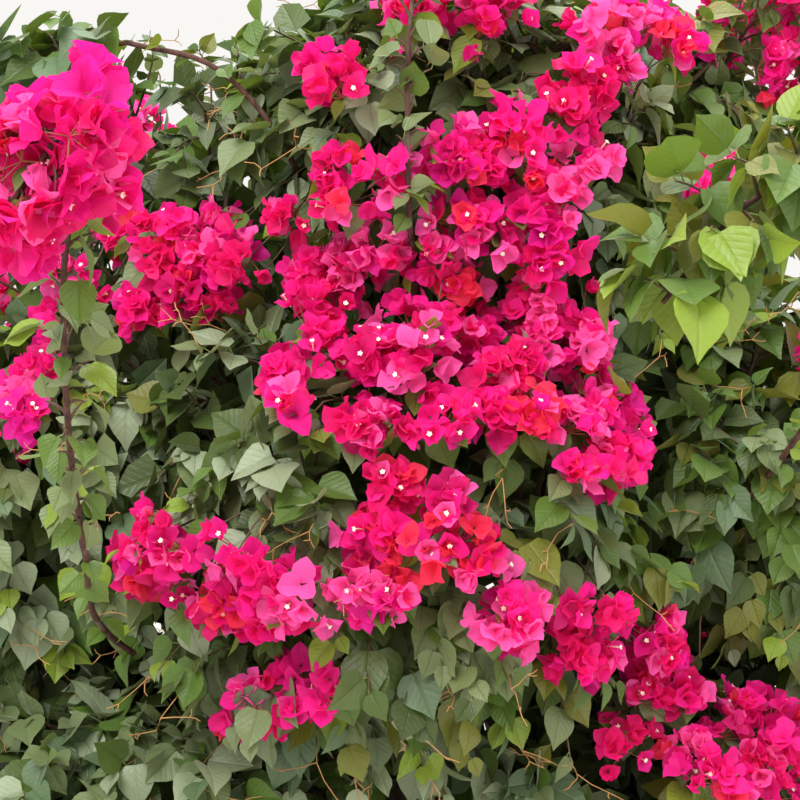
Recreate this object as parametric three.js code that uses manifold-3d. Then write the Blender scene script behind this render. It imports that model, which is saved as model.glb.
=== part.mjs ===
// A flowering bougainvillea bush that is rooted in the ground: a short flared trunk, arching boughs,
// and the masses of heart-shaped leaves and three-bract blossoms that they carry.
// Millimetres, +Z up. Someone who faces the front of the bush looks along +Y, with +X to the right.
// The origin is the middle of the flat cut under the trunk, at ground level.
import * as THREE from "three";
import { mergeVertices } from "three/addons/utils/BufferGeometryUtils.js";
import Module from "manifold-3d";

const wasm = await Module();
wasm.setup();

// Driving dimensions of the plant
const TRUNK = {
  height: 280, foot: 62, waist: 42, top: 38, lobes: 5, lobeDepth: 0.16, flareHeight: 95,
  lean: new THREE.Vector2(18, -10), sides: 15, rings: 6,
};
const RINGS = [
  {
    ring: "low", z: 302, alongX: 448, alongY: 305, radii: [372, 342, 284], first: 236, inside: 150,
    places: ["front_left", "front_right", "right", "back", "left"], rootZ: 92, rootRadius: 11,
  },
  {
    ring: "mid", z: 725, alongX: 452, alongY: 318, radii: [365, 345, 325], first: 270, inside: 135,
    places: ["front", "right", "back_right", "back_left", "left"], rootZ: 158, rootRadius: 13,
  },
  {
    ring: "top", z: 1120, alongX: 268, alongY: 205, radii: [352, 330, 335], first: 285, inside: 8,
    places: ["front", "right", "back", "left"], rootZ: 226, rootRadius: 15,
  },
];
const RISE_TO_RIGHT = 0.2; // the upper crown stands higher on the right, per millimetre of x
const OPEN_MASS = "top_left"; // this mass shows the sky between its canes, so it has no core
const BOUGH_TIP = 6.5; // radius of a bough where it enters its mass
const ENTRY = 0.76; // where a bough meets its mass at the latest, as a share of the mass's radius
const CORE = 0.76; // size of the leafy core, as a share of the mass's radius
const REACH = 1.08; // the furthest tips, as a share of the mass's radius
const CORE_LUMP = 0.1; // how far the core's surface goes in and out
const CORE_GAP = 10; // clear space from a core to the border of its mass
const SPRIGS = { tried: 110, apart: 176, tries: 4 }; // twig directions tried, and how far apart they end
const LEAF = { length: 118, width: 98, thick: 3.4, widest: 0.36, droop: 0.14 };
const BLOSSOM = { radius: 50, height: 52, waist: 0.5, cup: 0.42 };
const TWIG = { root: 5.2, tip: 3.4 };

// Long canes that arch out of the crown. Each leaves a bough's side at a share of its length, is
// bare through the first points and leafy or in flower through the last.
const SPRAYS = [
  { name: "front_left", from: "mid_left", share: 0.5,
    bare: [[-345, -420, 600], [-318, -700, 760]], flowers: 0.7,
    leafy: [[-300, -830, 880], [-275, -945, 1030], [-245, -1015, 1112], [-245, -1045, 1130],
      [-300, -1055, 1055]] },
  { name: "front_right", from: "mid_right", share: 0.5,
    bare: [[430, -360, 760], [490, -600, 960]], flowers: 2,
    leafy: [[475, -730, 1075], [395, -830, 1115], [300, -880, 1085], [225, -895, 1000]] },
  { name: "upright", from: "top_front", share: 0.6,
    bare: [[24, -400, 960], [10, -545, 1100]], flowers: 0.68,
    leafy: [[8, -560, 1200], [14, -550, 1330], [36, -530, 1420], [75, -510, 1450]] },
  { name: "left_arch", from: "top_left", share: 0.5,
    bare: [[-112, -330, 1130], [-220, -352, 1287], [-335, -350, 1322]], flowers: 2,
    leafy: [[-440, -345, 1300], [-540, -338, 1240], [-620, -325, 1150], [-665, -315, 1050]] },
  { name: "right_high", from: "top_right", share: 0.6,
    bare: [[350, 130, 1130], [440, 150, 1290]], flowers: 0.3,
    leafy: [[500, 158, 1400], [580, 162, 1470], [670, 165, 1460], [745, 165, 1380]] },
  { name: "back_left", from: "mid_back_left", share: 0.5,
    bare: [[-330, 430, 880], [-410, 560, 1070]], flowers: 0.5,
    leafy: [[-450, 620, 1190], [-500, 690, 1300], [-570, 740, 1320], [-630, 780, 1250]] },
  { name: "back_right", from: "mid_back_right", share: 0.5,
    bare: [[225, 470, 850], [270, 640, 980]], flowers: 0.5,
    leafy: [[300, 730, 1060], [340, 830, 1110], [385, 900, 1080], [410, 950, 990]] },
  { name: "right_arch", from: "top_right", share: 0.78,
    bare: [[345, 0, 1120], [440, -5, 1275]], flowers: 0.2,
    leafy: [[480, -5, 1362], [524, -5, 1422], [590, -10, 1425], [655, -20, 1365]] },
  { name: "back_top", from: "top_back", share: 0.6,
    bare: [[-40, 290, 1290], [-60, 350, 1385]], flowers: 0.5,
    leafy: [[-75, 425, 1430], [-90, 510, 1425], [-105, 590, 1370], [-110, 640, 1290]] },
];
const SPRAY = { root: 5.6, tip: 3.4, end: 2.4, pieces: 7, leaves: 8, room: 100, hold: 80 };

// Where the bush flowers. The front face has flowering arms, drawn as the eye sees them on the
// upright plane through the front of the crown: two ends [x, z] and how far the flowers reach.
const EYE = { y: -2120, z: 990, drop: 0.06 }; // the eye faces the front and looks a little down
const FRONT_PLANE = -620;
const FLOWERING_ARMS = [
  { from: [5, 1125], to: [152, 1182], reach: 92 }, // over the top of the middle
  { from: [0, 1018], to: [102, 958], reach: 122 }, // the middle
  { from: [-290, 1032], to: [-95, 1052], reach: 62 }, // its left wing
  { from: [140, 1055], to: [164, 930], reach: 54 }, // its right edge
  { from: [164, 930], to: [212, 850], reach: 52 },
  { from: [-136, 921], to: [-52, 921], reach: 48 }, // below the middle
  { from: [-34, 900], to: [22, 892], reach: 46 },
  { from: [-32, 815], to: [-22, 715], reach: 44 },
  { from: [20, 786], to: [82, 748], reach: 50 },
  { from: [115, 672], to: [285, 626], reach: 47 }, // down to the right
  { from: [290, 548], to: [450, 500], reach: 64 },
  { from: [215, 528], to: [238, 512], reach: 34 },
  { from: [-252, 742], to: [-172, 700], reach: 50 }, // among the leaves on the left
  { from: [-138, 690], to: [-60, 684], reach: 40 },
  { from: [-165, 572], to: [-68, 604], reach: 31 },
  { from: [-412, 866], to: [-400, 1036], reach: 50 }, // at the left edge
  { from: [21, 1290], to: [95, 1312], reach: 45 }, // high up, from the middle to the right
  { from: [194, 1262], to: [262, 1280], reach: 44 },
  { from: [320, 1304], to: [400, 1300], reach: 54 },
  { from: [318, 1138], to: [352, 1118], reach: 42 },
  { from: [380, 1200], to: [415, 1215], reach: 38 },
  { from: [-68, 1245], to: [-64, 1235], reach: 32 }, // above the left wing
];
const ROUND_BACK = {
  arms: 13, first: 335, step: 137.5, low: 430, high: 1290, balls: 4, turn: 13, fall: 78,
  alongX: 740, alongY: 600, middle: 640, tall: 860, least: 62, most: 128,
};
const FRONT_SECTOR = 58; // degrees each side of the front that the arms above describe

const INTERIOR = { alongX: 420, alongY: 300, top: 950 }; // the bare middle of the crown
const TOUCH = 0.3; // gap between pieces that meet
const CLEAR = 3; // gap from a twig or leaf to a limb that passes
const BORDER = 1; // gap from a twig or leaf to the border of its mass
const GROUND_GAP = 18; // nothing but the trunk comes lower than this
const MERGE = 1e-3; // points closer than this are one point
const SHORTEST = 0.05; // edges shorter than this are closed up where that leaves the shape whole
const FILE_STEP = 1e-4; // points closer than this become one point in a file
const FUSE_GOES = 6; // tries to join a mass with all its points apart
const UP = new THREE.Vector3(0, 0, 1);
const GOLDEN = Math.PI * (3 - Math.sqrt(5));

const v3 = (x, y, z) => new THREE.Vector3(x, y, z);
const along = (a, b, t) => a.clone().lerp(b, t);
const radians = THREE.MathUtils.degToRad;

// A seeded run of numbers from 0 to 1
function dice(seed) {
  let state = seed;
  return () => {
    state = (state + 0x6d2b79f5) | 0;
    let t = Math.imul(state ^ (state >>> 15), state | 1);
    t ^= t + Math.imul(t ^ (t >>> 7), t | 61);
    return ((t ^ (t >>> 14)) >>> 0) / 4294967296;
  };
}

// Two unit vectors square to a direction, and to each other
function across(direction) {
  const helper = Math.abs(direction.z) > 0.9 ? v3(1, 0, 0) : UP;
  const first = new THREE.Vector3().crossVectors(helper, direction).normalize();
  return [first, new THREE.Vector3().crossVectors(direction, first)];
}

// Solids

function geometryOf(points, faces) {
  const geometry = new THREE.BufferGeometry().setFromPoints(points);
  geometry.setIndex(faces.flat());
  return geometry;
}

function solidOf(geometry) {
  const bare = new THREE.BufferGeometry();
  bare.setAttribute("position", geometry.getAttribute("position"));
  bare.setIndex(geometry.index);
  const merged = mergeVertices(bare, MERGE);
  return new wasm.Manifold(new wasm.Mesh({
    numProp: 3,
    vertProperties: merged.getAttribute("position").array,
    triVerts: new Uint32Array(merged.index.array),
  }));
}

function geometryFrom(solid) {
  const mesh = solid.getMesh();
  const geometry = new THREE.BufferGeometry();
  geometry.setAttribute("position", new THREE.BufferAttribute(mesh.vertProperties, mesh.numProp));
  geometry.setIndex(new THREE.BufferAttribute(mesh.triVerts, 1));
  geometry.computeVertexNormals();
  return geometry;
}

// The largest piece of a solid, without loose scraps, sealed hollows or the tiny edges of a cut
function wholeOf(solid) {
  const plain = solid.asOriginal().simplify(SHORTEST);
  return plain.decompose().reduce((best, piece) => (piece.volume() > best.volume() ? piece : best));
}

// True if no two points of a solid are one point in a file that rounds to FILE_STEP
function pointsApart(solid) {
  const { vertProperties, numProp } = solid.getMesh();
  const places = new Set();
  for (let i = 0; i < vertProperties.length; i += numProp) {
    const place = new THREE.Vector3().fromArray(vertProperties, i);
    places.add(place.divideScalar(FILE_STEP).round().toArray().join());
  }
  return places.size === vertProperties.length / numProp;
}

// A closed skin over a row of rings that have the same number of points each
function skin(rings) {
  const sides = rings[0].length;
  const faces = [];
  for (let ring = 0; ring + 1 < rings.length; ring++) {
    for (let side = 0; side < sides; side++) {
      const a = ring * sides + side;
      const b = ring * sides + ((side + 1) % sides);
      faces.push([a, b, b + sides], [a, b + sides, a + sides]);
    }
  }
  const last = (rings.length - 1) * sides;
  for (let side = 1; side + 1 < sides; side++) {
    faces.push([0, side + 1, side], [last, last + side, last + side + 1]);
  }
  return geometryOf(rings.flat(), faces);
}

// A round section square to a direction
function section(centre, direction, radius, sides, turn = 0) {
  const [first, second] = across(direction);
  return Array.from({ length: sides }, (_, side) => {
    const angle = turn + (2 * Math.PI * side) / sides;
    return centre.clone()
      .addScaledVector(first, radius * Math.cos(angle))
      .addScaledVector(second, radius * Math.sin(angle));
  });
}

// A tapering limb along a smooth curve. It keeps its middle line and radii, for what must stay clear.
function limb(points, rootRadius, tipRadius, sides = 6, pieces = 7) {
  const curve = new THREE.CatmullRomCurve3(points, false, "centripetal");
  const frames = curve.computeFrenetFrames(pieces);
  const line = [];
  for (let i = 0; i <= pieces; i++) {
    const t = i / pieces;
    const radius = tipRadius + (rootRadius - tipRadius) * (1 - t) ** 1.25;
    line.push({ at: curve.getPointAt(t), radius, first: frames.normals[i], second: frames.binormals[i] });
  }
  const toward = frames.tangents[pieces];
  return { line, sides, tip: line[pieces].at, toward, tipRadius };
}

function limbGeometry({ line, sides }, grow = 0) {
  return skin(line.map(({ at, radius, first, second }) =>
    Array.from({ length: sides }, (_, side) => {
      const angle = (2 * Math.PI * side) / sides;
      return at.clone()
        .addScaledVector(first, (radius + grow) * Math.cos(angle))
        .addScaledVector(second, (radius + grow) * Math.sin(angle));
    })));
}

// A point of a limb's middle line, at a share of its length
function pointOn({ line }, share) {
  const place = share * (line.length - 1);
  const i = Math.min(Math.floor(place), line.length - 2);
  return along(line[i].at, line[i + 1].at, place - i);
}

// The trunk: lobed root flare on the ground, a waist, a slight lean and a rounded fork
function trunkGeometry(grow = 0) {
  const { height, foot, waist, top, lobes, lobeDepth, flareHeight, lean, sides, rings } = TRUNK;
  const made = [];
  for (let ring = 0; ring <= rings; ring++) {
    const z = height * (ring / rings) ** 1.35;
    const flare = Math.max(0, 1 - z / flareHeight) ** 2;
    const taper = waist + (top - waist) * (z / height);
    const radius = taper + (foot - waist) * flare;
    const sway = (z / height) ** 1.5;
    made.push(Array.from({ length: sides }, (_, side) => {
      const angle = (2 * Math.PI * side) / sides;
      const lobed = radius * (1 + lobeDepth * flare * Math.cos(lobes * angle)) + grow;
      return v3(lean.x * sway + lobed * Math.cos(angle), lean.y * sway + lobed * Math.sin(angle), z);
    }));
  }
  const crown = made[rings].map((point) => v3(
    lean.x + 0.62 * (point.x - lean.x), lean.y + 0.62 * (point.y - lean.y), height + 13 + grow));
  return skin([...made, crown]);
}

function trunkMiddle(z) {
  const sway = (z / TRUNK.height) ** 1.5;
  return v3(TRUNK.lean.x * sway, TRUNK.lean.y * sway, z);
}

// A leaf: a pointed oval blade of eight faces, thicker along its middle
function leafShape(root, axis, face, size) {
  const side = new THREE.Vector3().crossVectors(axis, face).normalize();
  const normal = new THREE.Vector3().crossVectors(side, axis).normalize();
  const length = LEAF.length * size;
  const middle = root.clone().addScaledVector(axis, length * LEAF.widest);
  const points = [
    root,
    middle.clone().addScaledVector(side, (LEAF.width * size) / 2),
    root.clone().addScaledVector(axis, length).addScaledVector(UP, -LEAF.droop * length),
    middle.clone().addScaledVector(side, (-LEAF.width * size) / 2),
    middle.clone().addScaledVector(normal, LEAF.thick),
    middle.clone().addScaledVector(normal, -LEAF.thick),
  ];
  const faces = [];
  for (let i = 0; i < 4; i++) {
    const next = (i + 1) % 4;
    faces.push([i, next, 4], [next, i, 5]);
  }
  return { points, geometry: geometryOf(points, faces) };
}

// A blossom: three pointed bracts that stand round a hollow, as one cup of twelve faces
function blossomShape(root, axis, size, turn) {
  const [first, second] = across(axis);
  const { radius, height, waist, cup } = BLOSSOM;
  const rim = Array.from({ length: 6 }, (_, i) => {
    const bract = i % 2 === 0;
    const out = radius * size * (bract ? 1 : waist);
    const angle = turn + (i * Math.PI) / 3;
    return root.clone()
      .addScaledVector(axis, height * size * (bract ? 1 : 0.72))
      .addScaledVector(first, out * Math.cos(angle))
      .addScaledVector(second, out * Math.sin(angle));
  });
  const points = [root, root.clone().addScaledVector(axis, height * size * cup), ...rim];
  const faces = [];
  for (let i = 0; i < 6; i++) {
    const here = 2 + i;
    const next = 2 + ((i + 1) % 6);
    faces.push([0, next, here], [1, here, next]);
  }
  return { points, geometry: geometryOf(points, faces) };
}

// A three-sided twig
function twigGeometry(from, to, hair) {
  const direction = to.clone().sub(from).normalize();
  const thick = section(from, direction, TWIG.root * hair, 3);
  const points = [...thick, ...section(to, direction, TWIG.tip * hair, 3)];
  const faces = [[0, 2, 1], [3, 4, 5]];
  for (let i = 0; i < 3; i++) {
    const next = (i + 1) % 3;
    faces.push([i, next, next + 3], [i, next + 3, i + 3]);
  }
  return geometryOf(points, faces);
}

// The masses of the crown and the spaces that they keep to

function crownMasses() {
  const masses = RINGS.flatMap(({ ring, z, alongX, alongY, radii, first, places, rootZ, ...rest }) =>
    places.map((place, i) => {
      const angle = radians(first + (360 * i) / places.length);
      const x = alongX * Math.cos(angle);
      const rise = ring === "top" ? RISE_TO_RIGHT * x : 0;
      const name = ring + "_" + place;
      return {
        ...rest, name, centre: v3(x, alongY * Math.sin(angle), z + rise), radii: v3(...radii),
        out: v3(Math.cos(angle), Math.sin(angle), 0), rootZ: rootZ + 9 * (i % 3),
        hold: radii[1], dense: name !== OPEN_MASS,
      };
    }));
  const sprays = SPRAYS.map(({ name, bare, leafy, ...rest }) => {
    const points = [bare.at(-1), ...leafy].map((point) => v3(...point));
    const box = new THREE.Box3().setFromPoints(points);
    const reach = box.getSize(new THREE.Vector3()).length() / 2 + SPRAY.room;
    return {
      name: "spray_" + name, centre: box.getCenter(new THREE.Vector3()), radii: v3(reach, reach, reach),
      hold: SPRAY.hold, dense: false,
      spray: { bare: bare.map((point) => v3(...point)), leafy: points, ...rest },
    };
  });
  return [...masses, ...sprays].map((mass, i) => ({ ...mass, seed: 1000 + 77 * i }));
}

const masses = crownMasses();

// How deep a point lies inside the space of a mass. Neighbours share the room between them by the
// sizes that they hold, and the rings keep out of the bare room round the trunk.
function depthIn(mass, point) {
  let least = mass.spray ? Infinity : point.dot(mass.out) - mass.inside;
  const own = point.distanceToSquared(mass.centre) - mass.hold ** 2;
  for (const other of masses) {
    if (other === mass) continue;
    const theirs = point.distanceToSquared(other.centre) - other.hold ** 2;
    const apart = other.centre.distanceTo(mass.centre);
    least = Math.min(least, (theirs - own) / (2 * apart));
  }
  return least;
}

// How far a point lies from the middle of a mass, as a share of the mass's radius there
function shareOf(mass, point) {
  return point.clone().sub(mass.centre).divide(mass.radii).length();
}

function onMass(mass, direction, share) {
  return mass.centre.clone().addScaledVector(direction.clone().multiply(mass.radii), share);
}

function keepsTo(mass, points) {
  return points.every((point) =>
    point.z > GROUND_GAP && shareOf(mass, point) < REACH && depthIn(mass, point) > BORDER);
}

// The flowering arms round the sides and back, each a row of balls that falls round the crown
function backBalls() {
  const { arms, first, step, low, high, balls, turn, fall, least, most } = ROUND_BACK;
  return Array.from({ length: arms * balls }, (_, k) => {
    const [arm, ball] = [Math.floor(k / balls), k % balls];
    const angle = radians(first + step * arm + (arm % 2 ? 1 : -1) * turn * ball);
    const z = low + ((high - low) * ((arm * 7) % arms)) / (arms - 1) - fall * ball;
    const width = Math.sqrt(1 - ((z - ROUND_BACK.middle) / ROUND_BACK.tall) ** 2);
    const [x, y] = [ROUND_BACK.alongX * width * Math.cos(angle), ROUND_BACK.alongY * width * Math.sin(angle)];
    return { centre: v3(x, y, z), reach: least + ((most - least) * ((arm * 3 + ball * 2) % 5)) / 4 };
  });
}

const BACK_BALLS = backBalls();

// How strongly the bush flowers at a point, from 0 to 1
function bloomAt(point) {
  const bearing = THREE.MathUtils.radToDeg(Math.atan2(point.x, -point.y));
  if (Math.abs(bearing) < FRONT_SECTOR && point.y < 0) {
    const scale = (FRONT_PLANE - EYE.y) / (point.y - EYE.y);
    const seen = new THREE.Vector3(
      point.x * scale,
      EYE.z - EYE.drop * (FRONT_PLANE - EYE.y) + (point.z - EYE.z + EYE.drop * (point.y - EYE.y)) * scale,
      0);
    return Math.max(...FLOWERING_ARMS.map(({ from, to, reach }) => {
      const arm = new THREE.Line3(v3(...from, 0), v3(...to, 0));
      const nearest = arm.closestPointToPoint(seen, true, new THREE.Vector3());
      return THREE.MathUtils.clamp(2 - (1.5 * nearest.distanceTo(seen)) / reach, 0, 1);
    }));
  }
  return Math.max(...BACK_BALLS.map(({ centre, reach }) =>
    THREE.MathUtils.clamp(2 - (1.5 * centre.distanceTo(point)) / reach, 0, 1)));
}

// Limbs

// Where the line from a mass's middle to the fork leaves the mass
function entryOf(mass) {
  const inward = trunkMiddle(TRUNK.height).sub(mass.centre).normalize();
  const at = mass.centre.clone();
  while (depthIn(mass, at) > CORE_GAP && shareOf(mass, at) < ENTRY) at.addScaledVector(inward, 2);
  return { at, inward };
}

// A bough from the trunk's middle to the near side of its mass
function ringBough(mass) {
  const root = trunkMiddle(mass.rootZ);
  const { at: tip, inward } = entryOf(mass);
  const before = tip.clone().addScaledVector(inward, 30);
  const leave = root.clone().addScaledVector(mass.out, TRUNK.waist + 16).addScaledVector(UP, 20);
  const bend = along(leave, before, 0.5).addScaledVector(mass.out, -0.06 * leave.distanceTo(before));
  return limb([root, leave, bend, before, tip], mass.rootRadius, BOUGH_TIP);
}

// A long bare cane from a bough's side out through the crown to where its leaves begin
function sprayCane({ spray }, parent) {
  return limb([pointOn(parent, spray.share), ...spray.bare], SPRAY.root, SPRAY.tip, 5, SPRAY.pieces);
}

const limbs = new Map();
for (const mass of masses.filter(({ spray }) => !spray)) limbs.set(mass.name, ringBough(mass));
for (const mass of masses.filter(({ spray }) => spray)) {
  limbs.set(mass.name, sprayCane(mass, limbs.get(mass.spray.from)));
  limbs.set("stem_" + mass.name, sprayStem(mass));
}

// True if a piece of a mass, with this middle line and half-width, stays off every other limb
function clearOfLimbs(mass, from, to, halfWidth) {
  const steps = Math.ceil(from.distanceTo(to) / 12);
  for (const [name, { line }] of limbs) {
    if (name === "stem_" + mass.name) continue;
    for (let i = 0; i + 1 < line.length; i++) {
      const span = new THREE.Line3(line[i].at, line[i + 1].at);
      for (let step = 0; step <= steps; step++) {
        const point = along(from, to, step / steps);
        const nearest = span.closestPointToPoint(point, true, new THREE.Vector3());
        if (nearest.distanceTo(point) < line[i].radius + halfWidth + CLEAR) return false;
      }
    }
  }
  return true;
}

// The limbs that pass through a box round a mass, as one solid, a little thicker than they are
function limbsNear(mass) {
  const room = new THREE.Box3().setFromCenterAndSize(mass.centre, mass.radii.clone().multiplyScalar(2.3));
  const near = [...limbs.values()].filter(({ line }) => line.some(({ at }) => room.containsPoint(at)));
  return wasm.Manifold.union(near.map((one) => solidOf(limbGeometry(one, CLEAR))));
}

// What a mass is made of

// The lumpy leafy core of a dense mass, cut back from the border with its neighbours
function coreSolid(mass, roll) {
  const facets = new THREE.IcosahedronGeometry(1, 1);
  const ball = mergeVertices(facets.deleteAttribute("normal").deleteAttribute("uv"));
  const place = ball.getAttribute("position");
  for (let i = 0; i < place.count; i++) {
    const direction = new THREE.Vector3().fromBufferAttribute(place, i);
    let share = CORE * (1 + CORE_LUMP * (2 * roll() - 1));
    while (share > 0.1) {
      const point = onMass(mass, direction, share);
      if (depthIn(mass, point) > CORE_GAP && point.z > GROUND_GAP) break;
      share -= 0.02;
    }
    place.setXYZ(i, ...onMass(mass, direction, share).toArray());
  }
  return solidOf(ball);
}

// The stem that grows on from the bough's tip to the middle of the mass
function massStem(mass) {
  const { tip, toward, tipRadius } = limbs.get(mass.name);
  const start = tip.clone().addScaledVector(toward, TOUCH);
  const knee = start.clone().addScaledVector(toward, 14);
  const end = mass.centre.clone();
  const onward = end.clone().sub(knee).normalize();
  return solidOf(skin([
    section(start, toward, tipRadius, 6),
    section(knee, toward, tipRadius, 6),
    section(end, onward, tipRadius * 0.7, 6),
  ]));
}

// The leafy end of a cane, which grows on from the cane's tip
function sprayStem({ name, spray }) {
  const { tip, toward } = limbs.get(name);
  const start = tip.clone().addScaledVector(toward, TOUCH);
  const knee = start.clone().addScaledVector(toward, 12);
  return limb([start, knee, ...spray.leafy.slice(1)], SPRAY.tip, SPRAY.end, 5, 6);
}

// Golden-angle directions all round a mass, each with a small seeded shift
function directions(count, roll) {
  const turn = 2 * Math.PI * roll();
  return Array.from({ length: count }, (_, i) => {
    const height = 1 - (2 * (i + 0.5)) / count;
    const radius = Math.sqrt(1 - height * height);
    const angle = turn + i * GOLDEN;
    return v3(
      radius * Math.cos(angle) + 0.16 * (roll() - 0.5),
      radius * Math.sin(angle) + 0.16 * (roll() - 0.5),
      height + 0.16 * (roll() - 0.5)).normalize();
  });
}

// True if the outer end of a twig would be buried in the crown, where no one sees it
function buried(mass, direction) {
  const end = onMass(mass, direction, 0.9);
  const others = masses.filter((other) => other !== mass && !other.spray);
  const inBetween = others.some((other) => shareOf(other, end) < 0.93);
  const fromAxis = Math.hypot(end.x / INTERIOR.alongX, end.y / INTERIOR.alongY);
  return inBetween || (fromAxis < 1 && end.z < INTERIOR.top) || end.z < 2 * GROUND_GAP;
}

// One leaf or blossom at a place on a twig that points outward, turned to one side of the twig
function pieceOf({ root, outward, angle, size, turn, flowers }) {
  const [first, second] = across(outward);
  const spread = first.clone().multiplyScalar(Math.cos(angle)).addScaledVector(second, Math.sin(angle));
  if (flowers) {
    const axis = outward.clone().addScaledVector(spread, 0.85).addScaledVector(UP, 0.1).normalize();
    return { axis, ...blossomShape(root, axis, size, turn) };
  }
  const axis = spread.clone().addScaledVector(outward, 0.42).addScaledVector(UP, -0.3).normalize();
  const face = outward.clone().addScaledVector(spread, -0.4).addScaledVector(UP, 0.35);
  return { axis, ...leafShape(root, axis, face, size) };
}

// The leaf or blossom that grows from a place on a twig, turned a little further round the twig
// while it would leave the mass or touch a limb. Nothing if no turn helps.
function fittedPiece(mass, root, outward, angle, flowers, roll) {
  const plan = { root, outward, angle, flowers, size: 0.86 + 0.26 * roll(), turn: 2 * Math.PI * roll() };
  for (let i = 0; i < SPRIGS.tries; i++) {
    const { axis, points } = pieceOf(plan);
    const from = root.clone().addScaledVector(axis, 12);
    const to = root.clone().addScaledVector(axis, 60);
    if (keepsTo(mass, points) && clearOfLimbs(mass, from, to, flowers ? 20 : 8)) return [plan];
    plan.angle += 0.45;
  }
  return [];
}

// The three leaves or blossoms round the end of a twig
function endPieces(mass, from, to, roll) {
  const outward = to.clone().sub(from).normalize();
  const turn = 2 * Math.PI * roll();
  const flowers = roll() < bloomAt(to);
  return [0, 1, 2].flatMap((i) => {
    const root = along(from, to, 0.97 - 0.07 * i);
    return fittedPiece(mass, root, outward, turn + (i * 2 * Math.PI) / 3, flowers, roll);
  });
}

// The twigs of a mass and what they carry. They end well apart from each other and from the ends
// of the masses before it.
function massSprigs(mass, roll, ends) {
  const sprigs = [];
  for (const direction of directions(SPRIGS.tried, roll)) {
    const to = onMass(mass, direction, 0.79 + 0.07 * roll());
    if (buried(mass, direction) || ends.some((end) => end.distanceTo(to) < SPRIGS.apart)) continue;
    const from = mass.dense ? onMass(mass, direction, CORE * 0.72) : mass.centre.clone();
    if (!keepsTo(mass, [from, to]) || !clearOfLimbs(mass, from, to, TWIG.root)) continue;
    const pieces = endPieces(mass, from, to, roll);
    if (pieces.length < 2) continue;
    ends.push(to);
    sprigs.push({ from, to, pieces });
  }
  return sprigs;
}

// The leaves and blossoms all along the leafy end of a cane
function sprayPieces(mass, stem, roll) {
  const pieces = [];
  for (let i = 0; i < SPRAY.leaves; i++) {
    const share = 0.12 + (0.86 * i) / (SPRAY.leaves - 1);
    const root = pointOn(stem, share);
    const outward = pointOn(stem, share + 0.02).sub(root).normalize();
    pieces.push(...fittedPiece(mass, root, outward, i * GOLDEN, share > mass.spray.flowers, roll));
  }
  return pieces;
}

// Twigs, leaves and blossoms fused to the rest of a mass and clear of the limbs that pass. They are
// made a hair thicker, a few times at most, until no two points are so close that they become one.
function fused(rest, sprigs, limbsToClear) {
  let solid;
  for (let go = 0; go < FUSE_GOES; go++) {
    const hair = 1 + 0.004 * go;
    const grown = sprigs.flatMap(({ from, to, pieces }) => [
      ...(from ? [twigGeometry(from, to, hair)] : []),
      ...pieces.map((plan) => pieceOf({ ...plan, size: plan.size * hair }).geometry),
    ]);
    const whole = wasm.Manifold.union([...rest, ...grown.map(solidOf)]);
    solid = wholeOf(limbsToClear ? whole.subtract(limbsToClear) : whole);
    if (pointsApart(solid)) break;
  }
  return solid;
}

// One mass of foliage: stem, core if it is dense, twigs, and what they carry
function massSolid(mass, ends) {
  const roll = dice(mass.seed);
  const core = mass.dense ? [coreSolid(mass, roll)] : [];
  return fused([massStem(mass), ...core], massSprigs(mass, roll, ends), limbsNear(mass));
}

// One spray: the cane's leafy end and what it carries
function spraySolid(mass) {
  const stem = limbs.get("stem_" + mass.name);
  return fused([solidOf(limbGeometry(stem))], [{ pieces: sprayPieces(mass, stem, dice(mass.seed)) }], null);
}

// The bush

const bark = new THREE.MeshStandardMaterial({ color: 0x5b4536, roughness: 0.85, metalness: 0 });
const foliage = new THREE.MeshStandardMaterial({ color: 0x64785a, roughness: 0.6, metalness: 0 });
const blossom = new THREE.MeshStandardMaterial({ color: 0xdb1668, roughness: 0.55, metalness: 0 });

const bush = new THREE.Group();

function add(name, geometry, material) {
  const mesh = new THREE.Mesh(geometry, material);
  mesh.name = name;
  bush.add(mesh);
}

add("trunk", trunkGeometry(), bark);

for (const mass of masses) {
  const carrier = mass.spray ? limbGeometry(limbs.get(mass.spray.from), TOUCH) : trunkGeometry(TOUCH);
  const cut = solidOf(limbGeometry(limbs.get(mass.name))).subtract(solidOf(carrier));
  const name = (mass.spray ? "cane_" : "bough_") + mass.name.replace("spray_", "");
  add(name, geometryFrom(wholeOf(cut)), bark);
}

const twigEnds = [];
for (const mass of masses) {
  if (mass.spray) {
    add(mass.name, geometryFrom(spraySolid(mass)), mass.spray.flowers < 1 ? blossom : foliage);
    continue;
  }
  const outside = onMass(mass, v3(mass.centre.x, mass.centre.y, 0).normalize(), 1);
  const colour = bloomAt(outside) > 0.5 ? blossom : foliage;
  add("mass_" + mass.name, geometryFrom(massSolid(mass, twigEnds)), colour);
}

export default bush;
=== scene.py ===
"""The flowering bougainvillea bush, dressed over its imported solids.

The crown grows by the source's rule: the same masses, spaces, seeds and first twigs, and from these
finer shoots with leaves, three-bract blossoms, small white flowers and old forked flower stalks.
Sizes are in millimetres until a mesh is made, which is in metres."""

import math

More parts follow.
